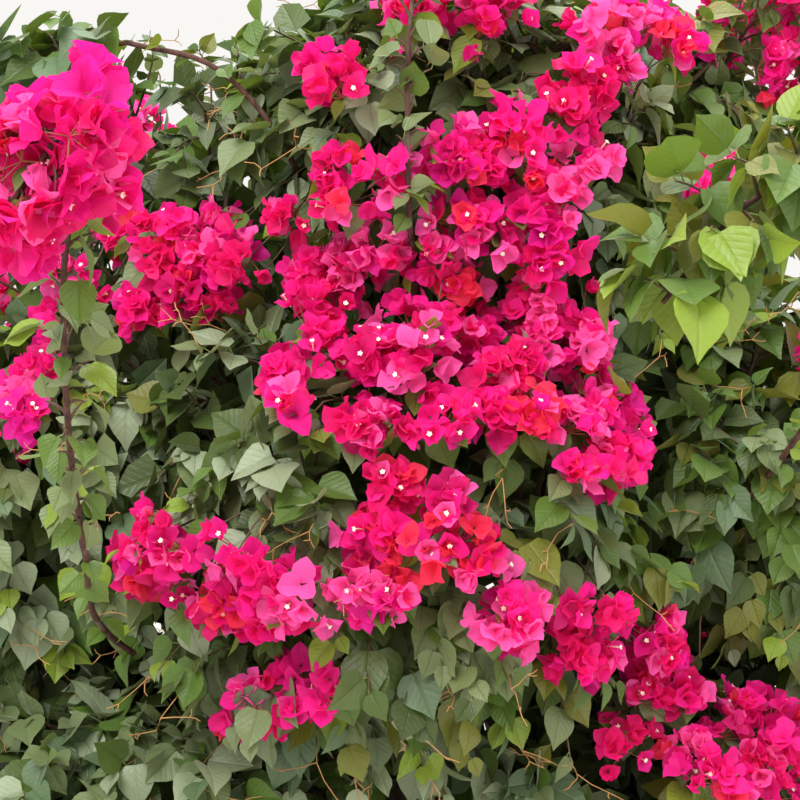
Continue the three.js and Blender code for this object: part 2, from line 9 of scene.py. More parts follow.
import bpy
import numpy as np
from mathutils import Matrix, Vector


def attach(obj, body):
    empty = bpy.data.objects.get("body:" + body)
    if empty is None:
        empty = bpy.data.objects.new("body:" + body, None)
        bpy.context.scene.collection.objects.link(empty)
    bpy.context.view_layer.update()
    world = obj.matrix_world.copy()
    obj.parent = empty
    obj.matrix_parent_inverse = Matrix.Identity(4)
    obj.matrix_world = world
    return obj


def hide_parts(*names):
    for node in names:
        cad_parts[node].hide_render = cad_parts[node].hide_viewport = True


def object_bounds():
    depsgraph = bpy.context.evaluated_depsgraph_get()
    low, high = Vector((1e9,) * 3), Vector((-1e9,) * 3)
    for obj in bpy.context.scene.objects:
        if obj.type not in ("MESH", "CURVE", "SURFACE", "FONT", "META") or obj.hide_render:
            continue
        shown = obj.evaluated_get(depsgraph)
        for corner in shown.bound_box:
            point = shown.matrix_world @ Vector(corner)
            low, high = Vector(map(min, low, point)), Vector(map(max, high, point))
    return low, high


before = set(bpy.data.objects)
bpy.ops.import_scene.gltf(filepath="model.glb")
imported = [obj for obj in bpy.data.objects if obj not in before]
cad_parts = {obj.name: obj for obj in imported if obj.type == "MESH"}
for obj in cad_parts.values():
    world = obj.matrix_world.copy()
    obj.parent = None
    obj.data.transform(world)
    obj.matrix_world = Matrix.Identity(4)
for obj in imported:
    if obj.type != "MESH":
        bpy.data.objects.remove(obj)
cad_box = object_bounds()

MM = 0.001
UP = np.array([0.0, 0.0, 1.0])
GOLDEN = math.pi * (3 - math.sqrt(5))
ROUND = 6.28

# The plant's named sizes, as in the source
TRUNK = {"height": 280, "foot": 62, "waist": 42, "top": 38, "lobes": 5, "lobe_depth": 0.16, "flare": 95,
         "lean": (18, -10)}
RINGS = [
    {"ring": "low", "z": 302, "along": (448, 305), "radii": (372, 342, 284), "first": 236, "inside": 150,
     "places": ["front_left", "front_right", "right", "back", "left"], "root_z": 92, "root_radius": 11},
    {"ring": "mid", "z": 725, "along": (452, 318), "radii": (365, 345, 325), "first": 270, "inside": 135,
     "places": ["front", "right", "back_right", "back_left", "left"], "root_z": 158, "root_radius": 13},
    {"ring": "top", "z": 1120, "along": (268, 205), "radii": (352, 330, 335), "first": 285, "inside": 8,
     "places": ["front", "right", "back", "left"], "root_z": 226, "root_radius": 15},
]
RISE_TO_RIGHT = 0.2
OPEN_MASS = "top_left"
BOUGH = {"tip": 6.5, "leave": 16, "rise": 20, "sag": 0.06, "straight": 30}
ENTRY = 0.76
CORE = 0.76
CORE_POINTS = 42
CORE_GAP = 10
REACH = 1.08
TRIED = 110
APART = 176
TWIG = {"root": 5.2}
SPRAYS = [
    {"name": "front_left", "from": "mid_left", "share": 0.5, "flowers": 0.7,
     "bare": [(-345, -420, 600), (-318, -700, 760)],
     "leafy": [(-300, -830, 880), (-275, -945, 1030), (-245, -1015, 1112), (-245, -1045, 1130),
               (-300, -1055, 1055)]},
    {"name": "front_right", "from": "mid_right", "share": 0.5, "flowers": 2,
     "bare": [(430, -360, 760), (490, -600, 960)],
     "leafy": [(475, -730, 1075), (395, -830, 1115), (300, -880, 1085), (225, -895, 1000)]},
    {"name": "upright", "from": "top_front", "share": 0.6, "flowers": 0.68,
     "bare": [(24, -400, 960), (10, -545, 1100)],
     "leafy": [(8, -560, 1200), (14, -550, 1330), (36, -530, 1420), (75, -510, 1450)]},
    {"name": "left_arch", "from": "top_left", "share": 0.5, "flowers": 2,
     "bare": [(-112, -330, 1130), (-220, -352, 1287), (-335, -350, 1322)],
     "leafy": [(-440, -345, 1300), (-540, -338, 1240), (-620, -325, 1150), (-665, -315, 1050)]},
    {"name": "right_high", "from": "top_right", "share": 0.6, "flowers": 0.3,
     "bare": [(350, 130, 1130), (440, 150, 1290)],
     "leafy": [(500, 158, 1400), (580, 162, 1470), (670, 165, 1460), (745, 165, 1380)]},
    {"name": "back_left", "from": "mid_back_left", "share": 0.5, "flowers": 0.5,
     "bare": [(-330, 430, 880), (-410, 560, 1070)],
     "leafy": [(-450, 620, 1190), (-500, 690, 1300), (-570, 740, 1320), (-630, 780, 1250)]},
    {"name": "back_right", "from": "mid_back_right", "share": 0.5, "flowers": 0.5,
     "bare": [(225, 470, 850), (270, 640, 980)],
     "leafy": [(300, 730, 1060), (340, 830, 1110), (385, 900, 1080), (410, 950, 990)]},
    {"name": "right_arch", "from": "top_right", "share": 0.78, "flowers": 0.2,
     "bare": [(345, 0, 1120), (440, -5, 1275)],
     "leafy": [(480, -5, 1362), (524, -5, 1422), (590, -10, 1425), (655, -20, 1365)]},
    {"name": "back_top", "from": "top_back", "share": 0.6, "flowers": 0.5,
     "bare": [(-40, 290, 1290), (-60, 350, 1385)],
     "leafy": [(-75, 425, 1430), (-90, 510, 1425), (-105, 590, 1370), (-110, 640, 1290)]},
]
SPRAY = {"root": 5.6, "tip": 3.4, "end": 2.4, "room": 100, "hold": 80}
EYE = {"y": -2120, "z": 990, "drop": 0.06}
FRONT_PLANE = -620
FLOWERING_ARMS = [
    ((5, 1125), (152, 1182), 92),
    ((0, 1018), (102, 958), 122),
    ((-290, 1032), (-95, 1052), 62),
    ((140, 1055), (164, 930), 54),
    ((164, 930), (212, 850), 52),
    ((-136, 921), (-52, 921), 48),
    ((-34, 900), (22, 892), 46),
    ((-32, 815), (-22, 715), 44),
    ((20, 786), (82, 748), 50),
    ((115, 672), (285, 626), 47),
    ((290, 548), (450, 500), 64),
    ((215, 528), (238, 512), 34),
    ((-252, 742), (-172, 700), 50),
    ((-138, 690), (-60, 684), 40),
    ((-165, 572), (-68, 604), 31),
    ((-412, 866), (-400, 1036), 50),
    ((21, 1290), (95, 1312), 45),
    ((194, 1262), (262, 1280), 44),
    ((320, 1304), (400, 1300), 54),
    ((318, 1138), (352, 1118), 42),
    ((380, 1200), (415, 1215), 38),
    ((-68, 1245), (-64, 1235), 32),
]
ROUND_BACK = {"arms": 13, "first": 335, "step": 137.5, "low": 430, "high": 1290, "balls": 4, "turn": 13,
              "fall": 78, "along": (740, 600), "middle": 640, "tall": 860, "least": 62, "most": 128}
FRONT_SECTOR = 58
INTERIOR = {"along": (420, 300), "top": 950}
CLEAR = 3
BORDER = 1
GROUND_GAP = 18

# What the finer growth adds: how many shoots are tried in a mass, how far out they end, how they bend
SHOOTS = {"tried": 260, "tried_open": 140, "turn": 0, "jitter": 0.05, "share": (0.87, 0.95), "lumps": 0.075,
          "long": 0.09, "apart": 0.86, "middle": 0.82, "lowest": 60, "knee": 0.66, "bend": 0.6, "rise": 26,
          "stray": 12, "droop": (12, 46), "tip_stray": 10, "leaves": 11, "from": 0.3, "shaded": 0.5}
FLOWERING = {"tried": 480, "tried_open": 480, "turn": 4, "jitter": 0.05, "share": (0.93, 1.01), "lumps": 0.05,
             "apart": 0.93, "lowest": 90, "knee": 0.7, "bend": 0.5, "rise": 22, "stray": 8, "shoot": 0.5,
             "blossom": 0.7, "blossoms": 14, "ball": (22, 44), "sizes": (0.8, 1.18), "leaves": 2}
INNER = {"tried": 230, "tried_open": 115, "turn": 2, "jitter": 0.1, "share": (0.25, 0.98), "lumps": 0,
         "most": 0.8, "between": 1.1, "lowest": 80, "rise": 14, "stray": 10, "leaves": 7}
SIDE = {"apart": 11, "reach": 105, "leaves": 6, "blossoms": 12, "ball": (20, 40), "sizes": (0.9, 1.25),
        "cane_leaf": 36, "slim": {"front_left": 0.28, "upright": 0.35, "front_right": 0.72, "left_arch": 0.7},
        "bare": ("front_left", "upright"),
        "tints": {"front_right": ("green", "young", "olive"), "left_arch": ("green", "blue", "deep")}}
LEAF_SIZES = {"open": 0.66, "panicle": 0.8, "cane": 0.75, "bare": 0.7, "side": 0.95, "inner": 1.08}
LEAF = {"length": 58, "sizes": (0.48, 1.08), "petiole": 12, "width": 0.87, "widths": (0.88, 1.12),
        "fold": (0.02, 0.46), "curl": (-0.1, 0.38), "wave": (0.0, 0.1)}
BRACT = {"length": 22, "width": 0.92, "widths": (0.9, 1.15), "fold": (0.0, 0.6), "curl": (-0.25, 0.45),
         "wave": (0.08, 0.32)}
FLOWER = {"share": 0.18, "tube": (11, 16), "point": 3.2, "notch": 2.2}
STALK = {"share": 0.34, "fork": (10, 46), "arm": (12, 48), "end": (6, 26)}
BARE_CANES = 9
TWIG_END = 2.6
SPACE = 4
OPEN_ABOVE = 1090
LOWEST = 8
OVER = 18

# How far along a blade each of its cross-rows is, and its half-width there, as shares of the length
LEAF_SHAPE = (0, 0.04, 0.14, 0.29, 0.46, 0.64, 0.82, 1.0), (0, 0.26, 0.43, 0.5, 0.47, 0.34, 0.14, 0)
INNER_SHAPE = (0, 0.2, 0.6, 1.0), (0, 0.48, 0.4, 0)
BRACT_SHAPE = (0, 0.14, 0.4, 0.68, 0.88, 1.0), (0, 0.3, 0.5, 0.46, 0.24, 0)

# Each leaf tint's face and the light that comes through it, its weight, and how much that grows to the
# right and low down
LEAF_TINTS = {
    "grey": ("#68774a", "#8a9c3c", 1.7, -1.1, 0),
    # The pale tint is partly a paler leaf tone and partly painted sky sheen, dealt more on the left.
    "pale": ("#8a9876", "#9cac58", 1.1, -0.9, 0),
    "blue": ("#586f4c", "#7c9a46", 1.0, -0.5, 0),
    "green": ("#4e6a1e", "#86a228", 0.5, 1.3, 0),
    "olive": ("#686c1c", "#989c26", 0.1, 0.5, 0),
    "deep": ("#42561a", "#6c861e", 0.35, 0.4, 0.4),
    "young": ("#789026", "#9cb22c", 0.03, 0.1, 0),
    # The shade tint is painted shade: a darker green for leaves inside the crown and low down.
    "shade": ("#3c4c1a", "#5e721c", 0.1, 0, 0.25),
}
# Each bract tint's face and the light that comes through it, and its share of the blossoms
BRACT_TINTS = {
    "pink": ("#f21492", "#ff2aa0", 0.38),
    # The hot tint is partly a lighter bract tone and partly a painted highlight.
    "hot": ("#ff5cb6", "#ff6ec0", 0.24),
    "crimson": ("#e60a74", "#fc1e88", 0.2),
    "deep": ("#cc0470", "#ee1084", 0.08),
    "coral": ("#f2305c", "#ff4a6c", 0.045),
    "magenta": ("#de0e96", "#fa2cac", 0.055),
}

# Long ridges of bark: how many there are round a limb, how high they are, and how they drift along it
LIMB_RIDGES = (3, 0.45, 0.012), (7, 0.35, -0.02)
TRUNK_RIDGES = (9, 1.5, 0), (17, 1.1, 0), (31, 0.8, 0.03)

# The stage, in metres and watts
FLOOR = {"radius": 60.0, "sides": 96}
SKY = {"colour": (1.0, 0.98, 0.95, 1), "strength": 0.95}
LAMPS = (("key", (-1.2, -2.8, 3.4), (0, 0, 0.8), 2.4, 170),
         ("top", (0.4, 0.3, 3.9), (0, 0, 0.7), 3.0, 110),
         ("fill", (2.6, -2.4, 1.6), (0, 0, 0.8), 2.6, 40))
CAMERA = {"sensor": 36, "lens": 18 / 0.28}


# Numbers and vectors

def dice(seed):
    """The source's seeded run of numbers from 0 to 1."""
    state = seed & 0xFFFFFFFF

    def roll():
        nonlocal state
        state = (state + 0x6D2B79F5) & 0xFFFFFFFF
        t = ((state ^ (state >> 15)) * (state | 1)) & 0xFFFFFFFF
        t ^= (t + (((t ^ (t >> 7)) * (t | 61)) & 0xFFFFFFFF)) & 0xFFFFFFFF
        return ((t ^ (t >> 14)) & 0xFFFFFFFF) / 4294967296

    return roll


def unit(v):
    """Vectors made one long."""
    return v / np.maximum(np.linalg.norm(v, axis=-1, keepdims=True), 1e-9)


def across(direction):
    """Two unit vectors square to each direction, and to each other."""
    steep = np.abs(direction[..., 2:3]) > 0.9
    first = unit(np.cross(np.where(steep, np.array([1.0, 0, 0]), UP), direction))
    return first, np.cross(direction, first)


def turned(first, second, angle):
    """The direction at an angle between two that are square to each other."""
    return np.cos(angle)[..., None] * first + np.sin(angle)[..., None] * second


def stretches(line):
    """The lengths between the points of a line."""
    return np.linalg.norm(np.diff(line, axis=0), axis=1)


def smooth_line(points, count):
    """Evenly spaced points on a centripetal Catmull-Rom curve through some points."""
    p = [np.array(q, float) for q in points]
    p = [2 * p[0] - p[1], *p, 2 * p[-1] - p[-2]]
    drawn = []
    for x0, x1, x2, x3 in zip(p, p[1:], p[2:], p[3:]):
        d0, d1, d2 = (max(np.linalg.norm(b - a), 1e-4) ** 0.5 for a, b in ((x0, x1), (x1, x2), (x2, x3)))
        t1 = ((x1 - x0) / d0 - (x2 - x0) / (d0 + d1) + (x2 - x1) / d1) * d1
        t2 = ((x2 - x1) / d1 - (x3 - x1) / (d1 + d2) + (x3 - x2) / d2) * d1
        t = np.linspace(0, 1, 60, endpoint=False)[:, None]
        square, cube = -3 * x1 + 3 * x2 - 2 * t1 - t2, 2 * x1 - 2 * x2 + t1 + t2
        drawn.append(x1 + t1 * t + square * t**2 + cube * t**3)
    drawn = np.vstack([*drawn, p[-2][None]])
    length = np.concatenate([[0], np.cumsum(stretches(drawn))])
    wanted = np.linspace(0, length[-1], count)
    return np.stack([np.interp(wanted, length, drawn[:, i]) for i in range(3)], axis=1)


# The masses of the crown and the spaces that they keep to

def trunk_middle(z):
    sway = (z / TRUNK["height"]) ** 1.5
    return np.array([TRUNK["lean"][0] * sway, TRUNK["lean"][1] * sway, z])


def ring_masses():
    made = []
    for ring in RINGS:
        for i, side in enumerate(ring["places"]):
            name = ring["ring"] + "_" + side
            angle = math.radians(ring["first"] + 360 * i / len(ring["places"]))
            out = np.array([math.cos(angle), math.sin(angle), 0.0])
            x, y = ring["along"][0] * out[0], ring["along"][1] * out[1]
            rise = RISE_TO_RIGHT * x if ring["ring"] == "top" else 0
            made.append({**ring, "name": name, "centre": np.array([x, y, ring["z"] + rise]), "out": out,
                         "radii": np.array(ring["radii"], float), "hold": ring["radii"][1],
                         "root_z": ring["root_z"] + 9 * (i % 3), "dense": name != OPEN_MASS, "spray": None})
    return made


def spray_masses():
    made = []
    for spray in SPRAYS:
        points = np.array([spray["bare"][-1], *spray["leafy"]], float)
        low, high = points.min(0), points.max(0)
        reach = np.linalg.norm(high - low) / 2 + SPRAY["room"]
        made.append({"name": "spray_" + spray["name"], "centre": (low + high) / 2, "hold": SPRAY["hold"],
                     "radii": np.array([reach] * 3), "dense": False, "spray": spray})
    return made


CROWN = ring_masses()
MASSES = [*CROWN, *spray_masses()]
for index, mass in enumerate(MASSES):
    mass["seed"] = 1000 + 77 * index


def depth_in(mass, points):
    """How deep each point lies inside the space of a mass."""
    points = np.atleast_2d(points)
    least = np.full(len(points), np.inf)
    if not mass["spray"]:
        least = points @ mass["out"] - mass["inside"]
    own = ((points - mass["centre"]) ** 2).sum(1) - mass["hold"] ** 2
    for other in MASSES:
        if other is mass:
            continue
        theirs = ((points - other["centre"]) ** 2).sum(1) - other["hold"] ** 2
        least = np.minimum(least, (theirs - own) / (2 * np.linalg.norm(other["centre"] - mass["centre"])))
    return least


def share_of(mass, points):
    """How far each point lies from the middle of a mass, as a share of its radius there."""
    return np.linalg.norm((np.atleast_2d(points) - mass["centre"]) / mass["radii"], axis=1)


def share_of_others(mass, points):
    """The least such share of each point in the other masses of the crown."""
    return np.min([share_of(other, points) for other in CROWN if other is not mass], axis=0)


def on_mass(mass, direction, share):
    return mass["centre"] + direction * mass["radii"] * share


def keeps_to(mass, points):
    inside = (share_of(mass, points) < REACH) & (depth_in(mass, points) > BORDER)
    return bool((inside & (points[:, 2] > GROUND_GAP)).all())


def back_balls():
    """The flowering arms round the sides and back, each a row of balls that falls round the crown."""
    rule, made = ROUND_BACK, []
    arms, (x, y) = rule["arms"], rule["along"]
    for arm in range(arms):
        top = rule["low"] + (rule["high"] - rule["low"]) * ((arm * 7) % arms) / (arms - 1)
        for ball in range(rule["balls"]):
            turn = (1 if arm % 2 else -1) * rule["turn"] * ball
            angle = math.radians(rule["first"] + rule["step"] * arm + turn)
            z = top - rule["fall"] * ball
            width = math.sqrt(1 - ((z - rule["middle"]) / rule["tall"]) ** 2)
            size = rule["least"] + (rule["most"] - rule["least"]) * ((arm * 3 + ball * 2) % 5) / 4
            made.append((np.array([x * width * math.cos(angle), y * width * math.sin(angle), z]), size))
    return made


BACK_BALLS = back_balls()


def bloom_at(points):
    """How strongly the bush flowers at each point, from 0 to 1."""
    bearing = np.degrees(np.arctan2(points[:, 0], -points[:, 1]))
    facing = (np.abs(bearing) < FRONT_SECTOR) & (points[:, 1] < 0)
    ahead = FRONT_PLANE - EYE["y"]
    away = np.maximum(points[:, 1] - EYE["y"], 50)
    scale = ahead / away
    seen = np.stack([
        points[:, 0] * scale,
        EYE["z"] - EYE["drop"] * ahead + (points[:, 2] - EYE["z"] + EYE["drop"] * away) * scale,
    ], axis=1)
    front = back = np.zeros(len(points))
    for start, end, reach in FLOWERING_ARMS:
        a, b = np.array(start, float), np.array(end, float)
        along = np.clip(((seen - a) @ (b - a)) / ((b - a) @ (b - a)), 0, 1)[:, None]
        gone = np.linalg.norm(seen - a - along * (b - a), axis=1)
        front = np.maximum(front, np.clip(2 - 1.5 * gone / reach, 0, 1))
    for centre, reach in BACK_BALLS:
        gone = np.linalg.norm(points - centre, axis=1)
        back = np.maximum(back, np.clip(2 - 1.5 * gone / reach, 0, 1))
    return np.where(facing, front, back)


# Limbs

def entry_of(mass):
    """Where the line from a mass's middle to the fork leaves the mass."""
    inward = unit(trunk_middle(TRUNK["height"]) - mass["centre"])
    at = mass["centre"].copy()
    while depth_in(mass, at)[0] > CORE_GAP and share_of(mass, at)[0] < ENTRY:
        at = at + 2 * inward
    return at, inward


def limb(points, root_radius, tip_radius, count):
    """A limb's middle line and its radius along it."""
    t = np.linspace(0, 1, count)
    return {"line": smooth_line(points, count),
            "radius": tip_radius + (root_radius - tip_radius) * (1 - t) ** 1.25}


def ring_bough(mass):
    root = trunk_middle(mass["root_z"])
    tip, inward = entry_of(mass)
    before = tip + BOUGH["straight"] * inward
    leave = root + mass["out"] * (TRUNK["waist"] + BOUGH["leave"]) + BOUGH["rise"] * UP
    bend = (leave + before) / 2 - mass["out"] * BOUGH["sag"] * np.linalg.norm(before - leave)
    return limb([root, leave, bend, before, tip], mass["root_radius"], BOUGH["tip"], 48)


def point_on(one, share):
    place_on = np.clip(share, 0, 1) * (len(one["line"]) - 1)
    i = np.minimum(np.floor(place_on).astype(int), len(one["line"]) - 2)
    t = np.asarray(place_on - i)[..., None]
    return one["line"][i] * (1 - t) + one["line"][i + 1] * t


def all_limbs():
    made = {"bough_" + mass["name"]: ring_bough(mass) for mass in CROWN}
    for spray in SPRAYS:
        name, bare = spray["name"], spray["bare"]
        root = point_on(made["bough_" + spray["from"]], spray["share"])
        made["cane_" + name] = limb([root, *bare], SPRAY["root"], SPRAY["tip"], 60)
        made["stem_" + name] = limb([bare[-1], *spray["leafy"]], SPRAY["tip"], SPRAY["end"], 60)
    return made


LIMBS = all_limbs()
LIMB_POINTS = np.vstack([one["line"][::3] for one in LIMBS.values()])
LIMB_RADII = np.concatenate([one["radius"][::3] for one in LIMBS.values()])


def clear_of_limbs(start, end, half_width):
    steps = np.linspace(0, 1, max(2, int(np.linalg.norm(end - start) / 12)))[:, None]
    points = start + (end - start) * steps
    gaps = np.linalg.norm(points[:, None] - LIMB_POINTS[None], axis=2) - LIMB_RADII
    return bool((gaps > half_width + CLEAR).all())


# First twigs, by the source's rule

def directions(count, roll):
    """Golden-angle directions all round a mass, each with a small seeded shift."""
    start = 2 * math.pi * roll()
    made = []
    for i in range(count):
        height = 1 - 2 * (i + 0.5) / count
        radius = math.sqrt(1 - height * height)
        angle = start + i * GOLDEN
        way = (radius * math.cos(angle), radius * math.sin(angle), height)
        made.append([value + 0.16 * (roll() - 0.5) for value in way])
    return unit(np.array(made))


def buried(mass, direction):
    end = on_mass(mass, direction, 0.9)
    x, y = INTERIOR["along"]
    inside = math.hypot(end[0] / x, end[1] / y) < 1 and end[2] < INTERIOR["top"]
    return share_of_others(mass, end)[0] < 0.93 or inside or end[2] < 2 * GROUND_GAP


def first_twigs():
    """The twigs of every mass as (mass, start, end), well apart from each other at their ends."""
    made = []
    for mass in CROWN:
        roll = dice(mass["seed"])
        for _ in range(CORE_POINTS if mass["dense"] else 0):
            roll()
        for direction in directions(TRIED, roll):
            to = on_mass(mass, direction, 0.79 + 0.07 * roll())
            if buried(mass, direction) or any(np.linalg.norm(end - to) < APART for _, _, end in made):
                continue
            start = on_mass(mass, direction, CORE * 0.72) if mass["dense"] else mass["centre"]
            if not keeps_to(mass, np.array([start, to])) or not clear_of_limbs(start, to, TWIG["root"]):
                continue
            for _ in range(8):
                roll()
            made.append((mass, start, to))
    return made


# Meshes from arrays

def mesh_object(name, points, faces, materials, slots=None, uv=None):
    """One object from arrays: points in millimetres, triangles, a material number for each triangle."""
    mesh = bpy.data.meshes.new(name)
    mesh.vertices.add(len(points))
    mesh.vertices.foreach_set("co", (points * MM).astype(np.float32).ravel())
    mesh.loops.add(len(faces) * 3)
    mesh.loops.foreach_set("vertex_index", faces.astype(np.int32).ravel())
    mesh.polygons.add(len(faces))
    mesh.polygons.foreach_set("loop_start", np.arange(0, len(faces) * 3, 3, dtype=np.int32))
    if slots is not None:
        mesh.polygons.foreach_set("material_index", slots.astype(np.int32))
    mesh.polygons.foreach_set("use_smooth", np.full(len(faces), True))
    if uv is not None:
        layer = mesh.uv_layers.new(name="UVMap")
        layer.data.foreach_set("uv", uv[faces.ravel()].astype(np.float32).ravel())
    for material in materials:
        mesh.materials.append(material)
    mesh.update(calc_edges=True)
    thing = bpy.data.objects.new(name, mesh)
    bpy.context.scene.collection.objects.link(thing)
    return thing


def round_ring(sides):
    """The angles of the points round a ring."""
    return 2 * math.pi * np.arange(sides) / sides


def ring_faces(rings, sides):
    """Triangles that join each ring of points to the next."""
    a = np.arange(rings - 1)[:, None] * sides + np.arange(sides)[None]
    b = np.arange(rings - 1)[:, None] * sides + (np.arange(sides) + 1)[None] % sides
    pairs = [np.stack([a, b, b + sides], -1), np.stack([a, b + sides, a + sides], -1)]
    return np.stack(pairs, 2).reshape(-1, 3)


def tubes(lines, radii, sides):
    """Tubes round many lines at once. lines is (count, steps, 3), radii (count, steps)."""
    count, steps = lines.shape[:2]
    first, second = across(unit(np.gradient(lines, axis=1)))
    ring = turned(first[:, :, None], second[:, :, None], round_ring(sides))
    points = lines[:, :, None] + ring * radii[:, :, None, None]
    faces = ring_faces(steps, sides)[None] + (np.arange(count) * steps * sides)[:, None, None]
    return points.reshape(-1, 3), faces.reshape(-1, 3)


def taper(count, root, tip, steps):
    return np.linspace(root, tip, steps)[None].repeat(count, 0)


def arched(start, bend, end, t):
    """Lines that leave each start towards its bend and come round to its end."""
    t = t[..., None]
    return (1 - t) ** 2 * start[:, None] + 2 * t * (1 - t) * bend[:, None] + t**2 * end[:, None]


def ridges(table, angle, s, phase):
    """How far long ridges stand out round a limb, at a place along it."""
    return sum(high * np.sin(times * angle + start + s * drift)
               for start, (times, high, drift) in zip(phase, table))


def wound_tube(line, radius, sides, relief, seed):
    """One tube with frames that turn as little as they can, closed at its tip, with bark relief."""
    tangent = unit(np.gradient(line, axis=0))
    first, _ = across(tangent[0])
    angle = round_ring(sides)
    length = np.concatenate([[0], np.cumsum(stretches(line))])
    phase = np.random.default_rng(seed).uniform(0, ROUND, 6)
    points = []
    for at, t, s, thick in zip(line, tangent, length, radius):
        first = unit(first - t * (first @ t))
        ridge = ridges(LIMB_RIDGES, angle, s, phase)
        ridge = ridge + np.sin(11 * angle + phase[2] + 0.6 * math.sin(s * 0.05)) * 0.3
        node = 0.10 * math.exp(-(((s + 8 * phase[3]) % 46) - 23) ** 2 / 18)
        r = thick * (0.95 + relief * ridge + node)
        points.append(at + r[:, None] * turned(first, np.cross(t, first), angle))
    points = np.vstack([*points, line[-1] + tangent[-1] * radius[-1] * 0.4])
    last = (len(line) - 1) * sides
    tip = [(last + j, last + (j + 1) % sides, len(points) - 1) for j in range(sides)]
    return points, np.vstack([ring_faces(len(line), sides), tip])


def joined(parts):
    """Several (points, faces) as one."""
    points, faces, start = [], [], 0
    for p, f in parts:
        points.append(p)
        faces.append(f + start)
        start += len(p)
    return np.vstack(points), np.vstack(faces)


def blades(base, axis, normal, length, width, fold, curl, wave, phase, shape):
    """Many leaf-like blades at once, each of two halves that meet in a crease along its middle."""
    count = len(base)
    side = np.cross(axis, normal)
    rows, halves = (np.array(values) for values in shape)
    points, uv = [], []
    for sign in (-1, 1):
        for i, t in enumerate(rows):
            for column in (0, 1) if 0 < i < len(rows) - 1 else (0,):
                x = column * sign * halves[i] * width * length
                y = (t - (0.05 if column and i == 1 else 0)) * length
                z = (fold * np.abs(x) - curl * t * t * length
                     + wave * column * np.sin(phase + 7 * t + sign) * length * (0.3 + np.abs(x) / length))
                points.append(base + side * x[:, None] + axis * y[:, None] + normal * z[:, None])
                uv.append((0.5 + 0.5 * column * sign * halves[i] / halves.max(), t))
    faces = []
    for sign in (0, 1):
        middle = [sign * (2 * len(rows) - 2) + max(0, 2 * i - 1) for i in range(len(rows))]
        made = [(middle[0], middle[1], middle[1] + 1)]
        for a, b in zip(middle[1:-2], middle[2:-1]):
            made += [(a, b, b + 1), (a, b + 1, a + 1)]
        made.append((middle[-2], middle[-1], middle[-2] + 1))
        faces += [face if sign == 0 else face[::-1] for face in made]
    points = np.stack(points, axis=1)
    faces = np.array(faces)[None] + (np.arange(count) * points.shape[1])[:, None, None]
    uv = np.tile(np.array(uv)[None], (count, 1, 1))
    return points.reshape(-1, 3), faces.reshape(-1, 3), uv.reshape(-1, 2), faces.shape[1]


# Materials

def srgb(code):
    """A colour of the screen, as #rrggbb, in linear light."""
    values = [int(code[i:i + 2], 16) / 255 for i in (1, 3, 5)]
    return (*[v / 12.92 if v <= 0.04045 else ((v + 0.055) / 1.055) ** 2.4 for v in values], 1.0)


class Nodes:
    """A material's node tree, with short ways to add and join nodes."""

    def __init__(self, name):
        self.material = bpy.data.materials.new(name)
        self.material.use_nodes = True
        self.tree = self.material.node_tree
        self.tree.nodes.clear()

    def add(self, kind, inputs=None, **values):
        """A node, with each of its inputs set to a value or joined to another node's output."""
        node = self.tree.nodes.new(kind)
        for key, value in values.items():
            setattr(node, key, value)
        for key, value in (inputs or {}).items():
            if isinstance(value, bpy.types.NodeSocket):
                self.tree.links.new(value, node.inputs[key])
            else:
                node.inputs[key].default_value = value
        return node

    def math(self, operation, *terms):
        return self.add("ShaderNodeMath", dict(enumerate(terms)), operation=operation).outputs[0]

    def total(self, *terms):
        """The sum of some heights, each times its weight."""
        made = [self.math("MULTIPLY", height, weight) for height, weight in terms]
        while len(made) > 1:
            made[:2] = [self.math("ADD", *made[:2])]
        return made[0]

    def coordinates(self, kind):
        return self.add("ShaderNodeTexCoord").outputs[kind]

    def noise(self, scale, detail=3.0, vector=None):
        inputs = {"Scale": scale, "Detail": detail, "Vector": vector or self.coordinates("Object")}
        return self.add("ShaderNodeTexNoise", inputs).outputs["Fac"]

    def uneven(self, scale, low, high):
        """A value that drifts between two, as the gloss of a surface does."""
        inputs = {"Value": self.noise(scale), "To Min": low, "To Max": high}
        return self.add("ShaderNodeMapRange", inputs).outputs[0]

    def ramp(self, value, *stops):
        """A value as a colour between two stops, each a position and a colour."""
        node = self.add("ShaderNodeValToRGB", {0: value})
        for element, (position, colour) in zip(node.color_ramp.elements, stops):
            element.position = position
            element.color = srgb(colour)
        return node.outputs[0]

    def uv(self):
        apart = self.add("ShaderNodeSeparateXYZ", {0: self.coordinates("UV")})
        return apart.outputs[0], apart.outputs[1]

    def bump(self, height, strength, distance):
        inputs = {"Strength": strength, "Distance": distance, "Height": height}
        return self.add("ShaderNodeBump", inputs).outputs["Normal"]

    def surface(self, shader):
        """The finished material."""
        self.add("ShaderNodeOutputMaterial", {"Surface": shader.outputs[0]})
        return self.material


def thin_material(name, tint, share, roughness, height, gloss, sheen):
    """A thin blade: a surface that takes light, and some light that comes through from behind."""
    nodes = Nodes(name)
    colour, through = tint[:2]
    normal = nodes.bump(height(nodes), 0.6, 0.0012)
    face = nodes.add("ShaderNodeBsdfPrincipled", {
        "Base Color": srgb(colour), "Specular IOR Level": gloss, "Sheen Weight": sheen,
        "Roughness": nodes.uneven(60, roughness - 0.1, roughness + 0.12), "Normal": normal})
    behind = nodes.add("ShaderNodeBsdfTranslucent", {"Color": srgb(through), "Normal": normal})
    mixed = {0: share, 1: face.outputs[0], 2: behind.outputs[0]}
    return nodes.surface(nodes.add("ShaderNodeMixShader", mixed))


